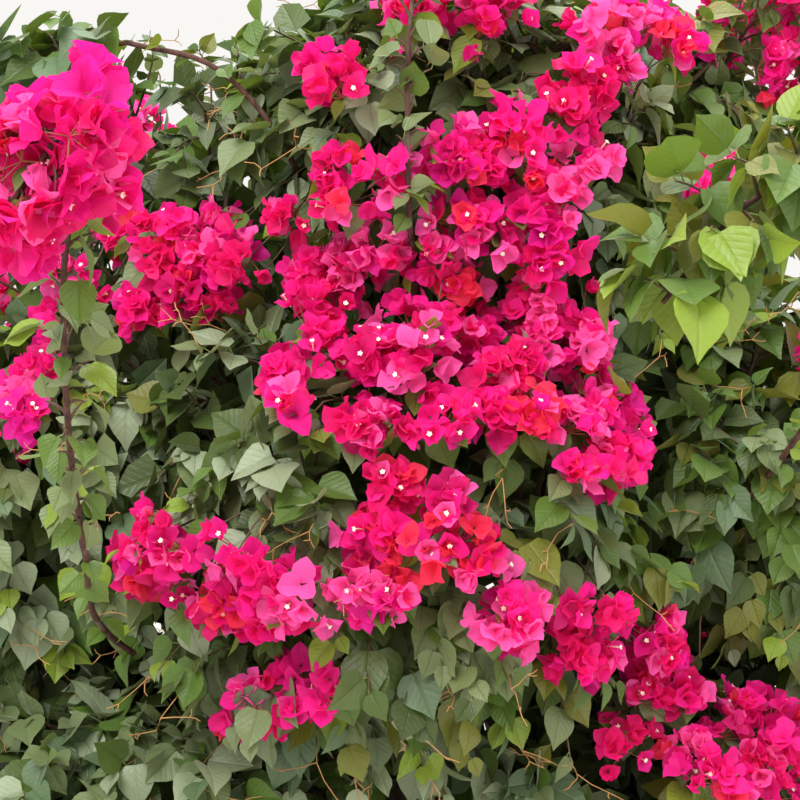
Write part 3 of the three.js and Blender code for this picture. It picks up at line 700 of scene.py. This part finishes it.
def leaf_veins(nodes):
    """A sunken midrib, side veins that leave it forwards, and a little unevenness of the blade."""
    u, v = nodes.uv()
    away = nodes.math("ABSOLUTE", nodes.math("SUBTRACT", u, 0.5))
    run = nodes.math("SUBTRACT", nodes.math("MULTIPLY", v, 19.0), nodes.math("MULTIPLY", away, 17.0))
    vein = nodes.math("POWER", nodes.math("ABSOLUTE", nodes.math("SINE", run)), 0.5)
    midrib = nodes.math("MINIMUM", nodes.math("MULTIPLY", away, 22.0), 1.0)
    return nodes.total((vein, 0.4), (midrib, 0.8), (nodes.noise(70), 2.4))


def bract_veins(nodes):
    """Fine veins that fan out from the bract's foot, and the crumple of dry paper."""
    u, _ = nodes.uv()
    bent = nodes.total((nodes.math("SUBTRACT", u, 0.5), 44.0), (nodes.noise(140), 9.0))
    vein = nodes.math("POWER", nodes.math("ABSOLUTE", nodes.math("SINE", bent)), 0.4)
    return nodes.total((vein, 0.4), (nodes.noise(110), 1.4))


# Share of light let through, roughness, relief, gloss and sheen
LEAF_LOOKS = 0.2, 0.46, leaf_veins, 0.5, 0.12
BRACT_LOOKS = 0.46, 0.54, bract_veins, 0.35, 0.05


def tinted(kind, tints_of_kind, *looks):
    return [thin_material(kind + name, tint, *looks) for name, tint in tints_of_kind.items()]


def plain_material(name, colour, roughness, scale, depth):
    """A small part's own colour, with fine unevenness in its gloss and surface."""
    nodes = Nodes(name)
    return nodes.surface(nodes.add("ShaderNodeBsdfPrincipled", {
        "Base Color": srgb(colour), "Roughness": nodes.uneven(scale, roughness - 0.1, roughness + 0.1),
        "Normal": nodes.bump(nodes.noise(scale * 2), depth, 0.001)}))


def bark_material(name, dark, light, lichen):
    """Rough bark: long fibres and cracks, lighter where it is worn, with a little grey lichen."""
    nodes = Nodes(name)
    stretch = {"Vector": nodes.coordinates("Object"), "Scale": (1.0, 1.0, 0.22)}
    fibre = nodes.noise(160, 6, nodes.add("ShaderNodeMapping", stretch).outputs[0])
    spots = nodes.ramp(nodes.noise(28), (0.58, "#000000"), (0.68, "#ffffff"))
    mixed = {"Factor": nodes.math("MULTIPLY", spots, 0.5),
             "A": nodes.ramp(fibre, (0.34, dark), (0.66, light)), "B": srgb(lichen)}
    mix = nodes.add("ShaderNodeMix", mixed, data_type="RGBA")
    return nodes.surface(nodes.add("ShaderNodeBsdfPrincipled", {
        "Base Color": mix.outputs["Result"], "Roughness": 0.85, "Normal": nodes.bump(fibre, 0.8, 0.003)}))


# Trunk, boughs and canes

def trunk_mesh(sides=90, rings=70):
    """The trunk with its root flare and the long fibrous ridges of its bark."""
    angle = round_ring(sides)
    phase = np.random.default_rng(5).uniform(0, ROUND, 8)
    points = []
    for z in np.linspace(0, TRUNK["height"], rings):
        flare = max(0, 1 - z / TRUNK["flare"]) ** 2
        taper_here = TRUNK["waist"] + (TRUNK["top"] - TRUNK["waist"]) * z / TRUNK["height"]
        radius = taper_here + (TRUNK["foot"] - TRUNK["waist"]) * flare
        lobed = radius * (1 + TRUNK["lobe_depth"] * flare * np.cos(TRUNK["lobes"] * angle))
        relief = ridges(TRUNK_RIDGES, angle + z * 0.006, z, phase)
        relief = relief + 0.7 * np.sin(4 * angle + phase[3]) * math.sin(z * 0.045 + phase[4])
        r = lobed - 1.5 + relief
        points.append(trunk_middle(z) + np.stack([r * np.cos(angle), r * np.sin(angle), 0 * r], axis=1))
    middle = trunk_middle(TRUNK["height"])
    for share, lift in ((0.86, 7), (0.62, 12), (0.3, 14)):
        points.append(middle + share * (points[rings - 1] - middle) + [0, 0, lift])
    last = (len(points) - 1) * sides
    faces = ring_faces(len(points), sides)
    points = np.vstack([*points, middle + [0, 0, 14.5], np.zeros((1, 3))])
    top, foot = len(points) - 2, len(points) - 1
    pairs = [(j, (j + 1) % sides) for j in range(sides)]
    caps = [face for a, b in pairs for face in ((last + a, last + b, top), (b, a, foot))]
    return points, np.vstack([faces, caps])


def wound(kinds, sides, relief, seed):
    """The limbs of some kinds as bark tubes."""
    return joined([wound_tube(one["line"], one["radius"], sides, relief, seed + i)
                   for i, (name, one) in enumerate(LIMBS.items()) if name.startswith(kinds)])


def wood():
    """The trunk, the boughs and the canes as bark meshes, in place of their nodes."""
    bark = bark_material("bark_old", "#3a2c23", "#7d6752", "#8b8a78")
    young = bark_material("bark_cane", "#341c18", "#5e3a2e", "#7a7060")
    trunk = mesh_object("trunk_bark", *trunk_mesh(), [bark])
    boughs = mesh_object("boughs_bark", *wound("bough_", 20, 0.05, 0), [bark])
    canes = mesh_object("canes_bark", *wound(("cane_", "stem_"), 12, 0.035, 50), [young])
    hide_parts("trunk")
    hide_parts(*[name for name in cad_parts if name.startswith("bough_")])
    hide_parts(*[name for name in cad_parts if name.startswith("cane_")])
    for thing in (trunk, boughs, canes):
        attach(thing, "root")


# Finer growth

def even_directions(count, turn):
    i = np.arange(count)
    height = 1 - 2 * (i + 0.5) / count
    radius = np.sqrt(1 - height**2)
    angle = turn + i * GOLDEN
    return np.stack([radius * np.cos(angle), radius * np.sin(angle), height], axis=1)


def merged(*sets):
    """Several sets as one, with the values that all of them have."""
    shared = [key for key in sets[0] if all(key in one for one in sets)]
    return {key: np.concatenate([one[key] for one in sets]) for key in shared}


def skeleton_of(mass, twigs):
    """Points of a mass's own twigs, where its finer shoots may start."""
    shares = np.linspace(0.15, 1.0, 6)[:, None]
    mine = [start + (end - start) * shares for owner, start, end in twigs if owner is mass]
    return np.vstack(mine) if mine else mass["centre"][None]


def nearest(bones, points):
    """The bone nearest to each point."""
    return bones[np.linalg.norm(points[:, None] - bones[None], axis=2).argmin(axis=1)]


def lump(mass, ways):
    """Soft bumps and hollows over the outline of the crown, from -1 to 1."""
    x, y, z = (mass["centre"] + ways * mass["radii"]).T
    return np.clip(2 * np.sin(x / 75 + 1.3) * np.sin(y / 85 + 0.4) * np.sin(z / 65 + 2.1), -1, 1)[:, None]


def shoots_of(rule, kept, twigs, rng):
    """Shoots in every mass by one rule: where each starts, bends and ends, and its outward way."""
    rows = []
    for number, mass in enumerate(CROWN):
        tried = rule["tried" if mass["dense"] else "tried_open"]
        ways = unit(even_directions(tried, rule["turn"] + number) + rng.normal(0, rule["jitter"], (tried, 3)))
        share = rng.uniform(*rule["share"], (tried, 1)) + rule["lumps"] * lump(mass, ways)
        if "long" in rule:
            is_long = rng.random((tried, 1)) < rule["long"]
            share = np.where(is_long, rng.uniform(1.0, REACH, (tried, 1)), share)
        tip = on_mass(mass, ways, share)
        keep = kept(tip, share[:, 0], share_of_others(mass, tip))
        keep &= (depth_in(mass, tip) > SPACE) & (tip[:, 2] > rule["lowest"])
        ways, tip = ways[keep], tip[keep]
        outward = unit(ways / mass["radii"])
        if "knee" in rule:
            knee = on_mass(mass, ways, rule["knee"])
            start = nearest(skeleton_of(mass, twigs), knee)
            bend = knee + (tip - knee) * rule["bend"] + UP * rule["rise"]
        else:
            start = nearest(np.vstack([skeleton_of(mass, twigs), mass["centre"][None]]), tip)
            bend = (start + tip) / 2 + UP * rule["rise"]
        if "droop" in rule:
            droop = rng.uniform(*rule["droop"], (len(tip), 1)) * (1 - 0.7 * np.clip(outward[:, 2:3], 0, 1))
            bend = bend + rng.normal(0, rule["stray"], tip.shape)
            tip = tip - UP * droop + rng.normal(0, rule["tip_stray"], tip.shape)
        else:
            bend = bend + rng.normal(0, rule["stray"], tip.shape)
        rows.append({"start": start, "bend": bend, "tip": tip, "outward": outward,
                     "open": np.full(len(tip), not mass["dense"])})
    return merged(*rows)


def outer_kept(tip, share, others):
    """The crown's shoots end clear of the other masses, and not in the middle of the bush."""
    x, y = INTERIOR["along"]
    middle = (np.hypot(tip[:, 0] / x, tip[:, 1] / y) < SHOOTS["middle"]) & (tip[:, 2] < INTERIOR["top"])
    return (others >= SHOOTS["apart"]) & ~middle


def flowering_kept(tip, share, others):
    """Flowering shoots stand a little proud of the leaves where the bush flowers."""
    return (others >= FLOWERING["apart"]) & (bloom_at(tip) > FLOWERING["shoot"])


def inner_kept(tip, share, others):
    """Shaded shoots end nearer the middle of each mass, and close the view through the crown."""
    return (share < INNER["most"]) | (others < INNER["between"])


def on_shoots(shoots, t):
    """Points and directions of the shoots' curves. t is (count, steps)."""
    curve = [shoots[key] for key in ("start", "bend", "tip")]
    start, bend, tip = (points[:, None] for points in curve)
    left, gone = (1 - t)[..., None], t[..., None]
    return arched(*curve, t), unit(2 * left * (bend - start) + 2 * gone * (tip - bend))


def nodes_on(shoots, t, kept=None):
    """Where leaves grow on shoots, with the ways along and outward there, one after another."""
    at, along = on_shoots(shoots, t)
    outward = np.repeat(shoots["outward"][:, None], t.shape[1], axis=1)
    kept = np.full(t.shape, True) if kept is None else kept
    return at[kept], along[kept], outward[kept]


# Leaves

def tints(*names):
    """The numbers of some leaf tints."""
    return [list(LEAF_TINTS).index(name) for name in names]


def leaf_tint(at, rng):
    """A tint for each place: grey and pale on the left, greener and olive on the right, dark low down; the
    pale tint is partly painted sky sheen and the shade tint is painted shade.
    """
    right = np.clip(0.5 + at[:, 0] / 700, 0, 1)
    low = np.clip((650 - at[:, 2]) / 600, 0, 1)
    weights = np.stack([tint[2] + tint[3] * right + tint[4] * low for tint in LEAF_TINTS.values()], axis=1)
    chances = np.cumsum(weights / weights.sum(1, keepdims=True), axis=1)
    return np.minimum((rng.random(len(at))[:, None] > chances).sum(1), len(LEAF_TINTS) - 1)


def leaf_sizes(shape, rng):
    """Leaf sizes as shares of the named length."""
    least, most = LEAF["sizes"]
    return least + (most - least) * rng.beta(1.5, 1.5, shape)


def leaves_at(places, angle, size, rng):
    """Leaves that grow at such nodes: their bases, axes, normals and sizes."""
    node, along, outward = places
    count = len(node)
    spread = turned(*across(along), angle)
    stalk = unit(0.8 * spread + 0.5 * outward + 0.3 * along + 0.1 * UP)
    base = node + stalk * (LEAF["petiole"] * rng.uniform(0.7, 1.25, count) * size)[:, None]
    hang = (0.85 - 0.6 * np.clip(outward[:, 2:3], 0, 1)) * rng.uniform(0.6, 1.3, (count, 1))
    axis = unit(0.6 * spread + 0.22 * outward + 0.25 * along - hang * UP + rng.normal(0, 0.14, (count, 3)))
    facing = 0.85 * outward + 0.6 * UP + rng.normal(0, 0.42, (count, 3))
    normal = unit(facing - axis * (facing * axis).sum(1, keepdims=True))
    return {"node": node, "base": base, "axis": axis, "normal": normal, "size": size}


def crown_leaves(shoots, rng):
    """Leaves in turn along every shoot: those in view, and those in the shade further in."""
    each = count, most = len(shoots["tip"]), SHOOTS["leaves"]
    t = np.linspace(SHOOTS["from"], 0.99, most)[None] + rng.uniform(-0.025, 0.025, each)
    at, _ = on_shoots(shoots, t)
    is_open = shoots["open"][:, None]
    keep = (t < 0.6) | (rng.random(each) > 0.93 * bloom_at(shoots["tip"])[:, None])
    keep &= ~is_open | (rng.random(each) < 0.6) | (at[..., 2] < OPEN_ABOVE)
    angle = rng.uniform(0, ROUND, count)[:, None] + GOLDEN * np.arange(most)[None]
    size = leaf_sizes(each, rng) * (1 - 0.4 * np.clip((t - 0.72) / 0.28, 0, 1) ** 1.5)
    size = np.where(is_open, LEAF_SIZES["open"] * size, size)
    tint = np.repeat(leaf_tint(shoots["tip"], rng)[:, None], most, axis=1)
    tint = np.where((rng.random(count) < 0.16)[:, None] & (t > 0.85), *tints("young"), tint)
    other = leaf_tint(shoots["tip"].repeat(most, 0), rng).reshape(each)
    tint = np.where(rng.random(each) < 0.35, other, tint)
    # Painted shade: most leaves on the inner part of each shoot take the darker shade tint.
    tint = np.where((t < 0.45) & (rng.random(each) < 0.6), *tints("shade"), tint)
    return [{**leaves_at(nodes_on(shoots, t, part), angle[part], size[part], rng), "tint": tint[part]}
            for part in (keep & (t >= SHOOTS["shaded"]), keep & (t < SHOOTS["shaded"]))]


def flower_leaves(shoots, rng):
    """The few small leaves below each panicle."""
    most = FLOWERING["leaves"]
    t = np.linspace(0.6, 0.92, most)[None].repeat(len(shoots["tip"]), 0)
    size = LEAF_SIZES["panicle"] * leaf_sizes(t.size, rng)
    made = leaves_at(nodes_on(shoots, t), rng.uniform(0, ROUND, t.size), size, rng)
    return {**made, "tint": rng.choice(tints("grey", "green", "young"), t.size, p=[0.4, 0.35, 0.25])}


def inner_leaves(shoots, rng):
    """Leaves along the inner shoots, in darker tints that are painted shade for the crown's inside."""
    each = count, most = len(shoots["tip"]), INNER["leaves"]
    t = np.linspace(0.35, 0.98, most)[None] + rng.uniform(-0.03, 0.03, each)
    tint = rng.choice(tints("shade", "deep", "green"), each, p=[0.45, 0.35, 0.2])
    angle = rng.uniform(0, ROUND, count)[:, None] + GOLDEN * np.arange(most)[None]
    size = LEAF_SIZES["inner"] * leaf_sizes(each, rng).ravel()
    made = leaves_at(nodes_on(shoots, t), angle.ravel(), size, rng)
    return {**made, "base": made["node"], "tint": tint.ravel()}


def cane_leaves(spray, rng):
    """A few leaves at wide gaps along the bare part of a cane."""
    cane = LIMBS["cane_" + spray["name"]]
    share = np.linspace(0.45, 0.99, int(0.55 * stretches(cane["line"]).sum() / SIDE["cane_leaf"]))
    size = LEAF_SIZES["cane"] * leaf_sizes(len(share), rng)
    outward = unit(np.array([0, -0.6, 0.4]) + rng.normal(0, 0.4, (len(share), 3)))
    places = point_on(cane, share), way_along(cane, share), outward
    made = leaves_at(places, GOLDEN * np.arange(len(share)), size, rng)
    return {**made, "tint": rng.choice(tints("green", "young"), len(share))}


# Blossoms

def blossoms_round(centre, outward, radius, number, rng):
    """Blossoms scattered over the outer half of a ball, each facing away from its middle."""
    way = unit(rng.normal(0, 1, (len(centre), number, 3)) + 1.15 * outward[:, None] + 0.2 * UP)
    base = centre[:, None] + way * (radius[:, None, None] * rng.uniform(0.45, 1.0, (len(centre), number, 1)))
    axis = unit(way + 0.35 * outward[:, None] + rng.normal(0, 0.3, way.shape))
    node = np.repeat(centre[:, None], number, axis=1)
    return {"node": node.reshape(-1, 3), "base": base.reshape(-1, 3), "axis": axis.reshape(-1, 3)}


def bract_tint(count, number, rng):
    """A tint for each blossom, mostly that of its spray."""
    chances = [tint[2] for tint in BRACT_TINTS.values()]
    spray = rng.choice(len(chances), count, p=chances)[:, None]
    own = rng.choice(len(chances), (count, number), p=chances)
    return np.where(rng.random((count, number)) < 0.55, spray, own).ravel()


def panicles(shoots, rng):
    """The blossoms at the ends of the flowering shoots, as far as the flowering arms reach."""
    count, number = len(shoots["tip"]), FLOWERING["blossoms"]
    at, _ = on_shoots(shoots, np.full((count, 1), 0.95))
    made = blossoms_round(at[:, 0], shoots["outward"], rng.uniform(*FLOWERING["ball"], count), number, rng)
    made["tint"] = bract_tint(count, number, rng)
    made["size"] = rng.uniform(*FLOWERING["sizes"], count * number)
    keep = bloom_at(made["base"]) > FLOWERING["blossom"]
    return {key: values[keep] for key, values in made.items()}


# Growth on the long canes

def way_along(one, share):
    return unit(point_on(one, share + 0.02) - point_on(one, share - 0.02))


def side_shoots(spray, rng):
    """Short side shoots all along the leafy end of a cane."""
    stem = LIMBS["stem_" + spray["name"]]
    count = int(stretches(stem["line"]).sum() / SIDE["apart"])
    share = np.linspace(0.04, 0.98, count)
    start, along = point_on(stem, share), way_along(stem, share)
    out = unit(turned(*across(along), GOLDEN * np.arange(count)) + 0.5 * along + 0.25 * UP)
    reach = rng.uniform(0.5, 1, (count, 1)) * SIDE["reach"] * (0.6 + 0.4 * np.sin(math.pi * share[:, None]))
    reach = reach * SIDE["slim"].get(spray["name"], 1)
    tip = start + out * reach
    return {"start": start, "bend": (start + tip) / 2 + UP * reach * 0.2, "tip": tip, "outward": out,
            "share": share}


def spray_growth(rng):
    """Side shoots, leaves and blossoms on the long canes that arch out of the crown."""
    leaf_parts, blossom_parts, shoot_parts = [], [], []
    for spray in SPRAYS:
        side = side_shoots(spray, rng)
        share = side.pop("share")
        shoot_parts.append(side)
        count = len(share)
        bare = spray["name"] in SIDE["bare"]
        t = np.linspace(0.25, 1.0, SIDE["leaves"])[None].repeat(count, 0)
        bloom = share > spray["flowers"]
        if not bare:
            bloom = rng.random(count) < np.clip(0.45 + 2 * (share - spray["flowers"]), 0, 0.9)
        keep = rng.random(t.shape) < (0.22 if bare else 0.92)
        keep &= ~bloom[:, None] | (t < 0.6)
        size = leaf_sizes(keep.sum(), rng) * LEAF_SIZES["bare" if bare else "side"]
        made = leaves_at(nodes_on(side, t, keep), rng.uniform(0, ROUND, len(size)), size, rng)
        mix = tints(*SIDE["tints"].get(spray["name"], ("grey", "green", "young")))
        leaf_parts.append({**made, "tint": rng.choice(mix, len(size), p=[0.5, 0.3, 0.2])})
        centre, out = side["tip"][bloom], side["outward"][bloom]
        radius = rng.uniform(*SIDE["ball"], len(centre)) * (0.85 if bare else 1)
        made = blossoms_round(centre, out, radius, SIDE["blossoms"], rng)
        made["size"] = rng.uniform(*SIDE["sizes"], len(made["base"]))
        made["tint"] = bract_tint(len(centre), SIDE["blossoms"], rng)
        blossom_parts.append(made)
        leaf_parts.append(cane_leaves(spray, rng))
    return merged(*leaf_parts), merged(*blossom_parts), merged(*shoot_parts)


# Limits

def within_reach(parts, length):
    """Leaves or blossoms that stay clear of the ground and inside the crown's reach."""
    long = length * parts["size"][:, None] * 1.15
    ends = np.stack([parts["base"], parts["base"] + parts["axis"] * long], axis=1)
    lowest = ends[:, :, 2].min(1) - 0.3 * long[:, 0]
    keep = (lowest > LOWEST) & inside_box(ends)
    return {key: values[keep] for key, values in parts.items()}


def inside_box(ends):
    """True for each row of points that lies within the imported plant's box, give or take a little."""
    low, high = np.array(cad_box) / MM
    return ((ends > low - OVER) & (ends < high + OVER)).all(axis=(1, 2))


# Pieces

def place(thing):
    """A joined piece rides on the bush and stands for all its masses."""
    masses = [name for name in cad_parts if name.startswith(("mass_", "spray_"))]
    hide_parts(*masses)
    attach(thing, "root")


def place_tubes(name, lines, radii, sides, material):
    """Tubes of one taper round some lines, as one piece."""
    radii = taper(len(lines), *radii, lines.shape[1])
    place(mesh_object(name, *tubes(lines, radii, sides), [material]))


def make_twigs(twigs, shoots, inside):
    """The first twigs and the finer shoots that grow on from them."""
    brown = plain_material("twig_brown", "#5a4432", 0.75, 90, 0.5)
    starts, ends = (np.array([twig[i] for twig in twigs]) for i in (1, 2))
    centres = np.array([mass["centre"] for mass, _, _ in twigs])
    lines = arched(centres, starts, ends, np.linspace(0, 1, 6)[None])
    parts = [tubes(lines, taper(len(twigs), TWIG["root"], TWIG_END, 6), 5)]
    for growth, steps in ((shoots, 5), (inside, 4)):
        count = len(growth["tip"])
        lines, _ = on_shoots(growth, np.linspace(0, 1, steps)[None].repeat(count, 0))
        parts.append(tubes(lines, taper(count, 2.2, 0.9, steps), 3))
    place(mesh_object("twigs", *joined(parts), [brown]))


def place_blades(pieces, parts, length, kind, shape, materials, rng):
    """Blades in joined pieces, each with its own share of them."""
    values = [parts["base"], parts["axis"], parts["normal"], length]
    values.append(kind["width"] * rng.uniform(*kind["widths"], len(length)))
    for low, high in (kind["fold"], kind["curl"], kind["wave"], (0, ROUND)):
        values.append(rng.uniform(low, high, len(length)))
    for name, part in pieces:
        points, faces, uv, per = blades(*[one[part] for one in values], shape)
        slots = np.repeat(parts["tint"][part], per)
        place(mesh_object(name, points, faces, materials, slots, uv))


def make_leaves(names, leaves, shape, materials, rng):
    count = len(leaves["base"])
    length = LEAF["length"] * leaves["size"] * rng.uniform(0.88, 1.12, count)
    pieces = zip(names, np.array_split(np.arange(count), len(names)))
    place_blades(pieces, leaves, length, LEAF, shape, materials, rng)


def make_blossoms(blossoms, rng):
    """Three bracts to a blossom, and a small white flower in some of them."""
    count = len(blossoms["base"])
    up, (first, second) = blossoms["axis"], across(blossoms["axis"])
    turn = rng.uniform(0, ROUND, count)
    open_angle = np.radians(rng.uniform(16, 56, count))
    bracts = []
    for i in range(3):
        out = turned(first, second, turn + i * 2 * math.pi / 3 + rng.normal(0, 0.12, count))
        lean = (open_angle + rng.normal(0, 0.14, count))[:, None]
        bracts.append({
            "base": blossoms["base"] + up * 1.5 + out * 1.2,
            "axis": np.cos(lean) * up + np.sin(lean) * out,
            "normal": np.sin(lean) * up - np.cos(lean) * out,
            "size": blossoms["size"] * rng.uniform(0.88, 1.12, count),
            "tint": blossoms["tint"]})
    bracts = merged(*bracts)
    half = 3 * count // 2
    pieces = ("bracts_1", slice(0, half)), ("bracts_2", slice(half, None))
    materials = tinted("bract_", BRACT_TINTS, *BRACT_LOOKS)
    length = BRACT["length"] * bracts["size"]
    place_blades(pieces, bracts, length, BRACT, BRACT_SHAPE, materials, rng)
    make_flowers(blossoms, rng)


def make_flowers(blossoms, rng):
    """The true flowers: a slim tube with a five-pointed star, in some of the blossoms."""
    white = plain_material("flower_white", "#f3ead2", 0.5, 120, 0.2)
    chosen = rng.random(len(blossoms["base"])) < FLOWER["share"]
    base, axis = blossoms["base"][chosen], blossoms["axis"][chosen]
    axis = unit(axis + rng.normal(0, 0.12, axis.shape))
    end = base + axis * rng.uniform(*FLOWER["tube"], len(base))[:, None]
    tube = tubes(np.stack([base, end], axis=1), taper(len(base), 0.8, 1.3, 2), 3)
    first, second = across(axis)
    turn = rng.uniform(0, ROUND, len(base))
    rim = []
    for i in range(10):
        reach, lift = (FLOWER["notch"], 0.4) if i % 2 else (FLOWER["point"], 1.2)
        out = reach * rng.uniform(0.9, 1.1, len(base))
        rim.append(end + out[:, None] * turned(first, second, turn + i * math.pi / 5) + axis * lift)
    one = np.array([(0, 1 + i, 1 + (i + 1) % 10) for i in range(10)])
    faces = one[None] + (np.arange(len(base)) * 11)[:, None, None]
    star = (np.stack([end, *rim], axis=1).reshape(-1, 3), faces.reshape(-1, 3))
    place(mesh_object("flowers", *joined([tube, star]), [white]))


def make_old_stalks(shoots, rng):
    """Thin brown forked stalks that spent blossoms leave behind at the ends of shoots."""
    dry = plain_material("stalk_dry", "#b0824f", 0.7, 120, 0.3)
    chance = rng.random(len(shoots["tip"]))
    chosen = np.flatnonzero((bloom_at(shoots["tip"]) < 0.6) & (chance < STALK["share"]))
    ends = {key: values[chosen] for key, values in shoots.items()}
    tip, one = ends["tip"], (len(chosen), 1)
    _, along = on_shoots(ends, np.ones(one))
    way = unit(0.6 * along[:, 0] + 0.6 * ends["outward"] + rng.normal(0, 0.45, tip.shape))
    first, second = across(way)
    lines = []

    def stalk(start, end, sag):
        middle = (start + end) / 2 + sag * rng.normal(0, 1, start.shape)
        lines.append(np.stack([start, middle, end], axis=1))

    fork = tip + way * rng.uniform(*STALK["fork"], one)
    stalk(tip, fork, 2.5)
    for sign in (-1, 1):
        out = unit(way + sign * rng.uniform(0.4, 1.3, one) * first + rng.normal(0, 0.45, tip.shape))
        end = fork + out * rng.uniform(*STALK["arm"], one)
        stalk(fork, end, 2.5)
        for turn in (-1, 1):
            last = unit(out + turn * rng.uniform(0.4, 1.2, one) * second + rng.normal(0, 0.4, tip.shape))
            stalk(end, end + last * rng.uniform(*STALK["end"], one), 1.4)
    lines = np.concatenate(lines)
    lines = lines[(lines[:, :, 2].min(1) > LOWEST) & inside_box(lines)]
    place_tubes("old_stalks", lines, (0.85, 0.6), 3, dry)


def make_bare_canes(rng):
    """Leafless canes that arch through the open mass and show between its leaves."""
    bark = bark_material("bark_twig", "#4a2e26", "#7c5a48", "#8a8578")
    mass = next(mass for mass in CROWN if not mass["dense"])
    way = unit(np.array([-0.65, -0.45, 0.2]) + rng.normal(0, 0.42, (BARE_CANES, 3)))
    end = on_mass(mass, way, rng.uniform(0.85, 1.0, (BARE_CANES, 1)))
    start = point_on(LIMBS["bough_" + OPEN_MASS], rng.uniform(0.75, 1, BARE_CANES))
    bend = (start + end) / 2 + UP * rng.uniform(30, 110, (BARE_CANES, 1)) + 40 * way
    lines = arched(start, bend, end, np.linspace(0, 1, 14)[None])
    place_tubes("bare_canes", lines, (3.6, 1.5), 7, bark)


def bush():
    rng = np.random.default_rng(2024)
    wood()
    twigs = first_twigs()
    shoots = shoots_of(SHOOTS, outer_kept, twigs, rng)
    flowering = shoots_of(FLOWERING, flowering_kept, twigs, rng)
    inside = shoots_of(INNER, inner_kept, twigs, rng)
    spray_leaves, spray_blossoms, side = spray_growth(rng)
    outer, shaded = crown_leaves(shoots, rng)
    leaves = within_reach(merged(outer, flower_leaves(flowering, rng), spray_leaves), LEAF["length"])
    shaded = within_reach(merged(shaded, inner_leaves(inside, rng)), LEAF["length"])
    blossoms = within_reach(merged(panicles(flowering, rng), spray_blossoms), BRACT["length"])

    make_twigs(twigs, merged(shoots, flowering, side), inside)
    green = plain_material("stalk_green", "#76803e", 0.6, 90, 0.3)
    russet = plain_material("stalk_russet", "#96563c", 0.6, 90, 0.3)
    for name, held, radii, colour, slot in (("petioles", leaves, (0.9, 0.7), green, "foliage"),
                                            ("flower_stalks", blossoms, (0.9, 0.6), russet, "blossom")):
        place_tubes(name, np.stack([held["node"], held["base"]], axis=1), radii, 3, colour)
    materials = tinted("leaf_", LEAF_TINTS, *LEAF_LOOKS)
    make_leaves(["leaves_1", "leaves_2"], leaves, LEAF_SHAPE, materials, rng)
    make_leaves(["leaves_inner"], shaded, INNER_SHAPE, materials, rng)
    make_blossoms(blossoms, rng)
    make_old_stalks(shoots, rng)
    make_bare_canes(rng)


# Stage

def aim_at(at, target):
    return (Vector(target) - Vector(at)).to_track_quat("-Z", "Y").to_euler()


def stand(name, data, at, target):
    """A lamp or camera, linked to the scene at a place and aimed at another."""
    thing = bpy.data.objects.new(name, data)
    thing.location = at
    thing.rotation_euler = aim_at(at, target)
    bpy.context.scene.collection.objects.link(thing)
    return thing


def stage():
    """A plain pale floor, soft studio light and the camera at the photograph's viewing angle."""
    floor = bpy.data.meshes.new("floor")
    rim = [FLOOR["radius"] * np.array([math.cos(t), math.sin(t), 0]) for t in round_ring(FLOOR["sides"])]
    floor.from_pydata(rim, [], [range(FLOOR["sides"])])
    thing = bpy.data.objects.new("floor", floor)
    bpy.context.scene.collection.objects.link(thing)
    floor.materials.append(plain_material("floor_pale", "#dedad3", 0.9, 3, 0.05))

    world = bpy.data.worlds.new("studio")
    bpy.context.scene.world = world
    world.use_nodes = True
    sky = world.node_tree.nodes["Background"]
    sky.inputs["Color"].default_value = SKY["colour"]
    sky.inputs["Strength"].default_value = SKY["strength"]

    for name, at, target, size, power in LAMPS:
        lamp = bpy.data.lights.new(name, "AREA")
        lamp.shape = "DISK"
        lamp.size = size
        lamp.energy = power
        stand(name, lamp, at, target)

    camera = bpy.data.cameras.new("camera")
    camera.sensor_width = CAMERA["sensor"]
    camera.lens = CAMERA["lens"]
    at, ahead = (0, EYE["y"] * MM, EYE["z"] * MM), (0, 0, (EYE["z"] + EYE["drop"] * EYE["y"]) * MM)
    bpy.context.scene.camera = stand("camera", camera, at, ahead)
    bpy.context.scene.view_settings.view_transform = "Standard"
    bpy.context.scene.view_settings.look = "None"


bush()
stage()
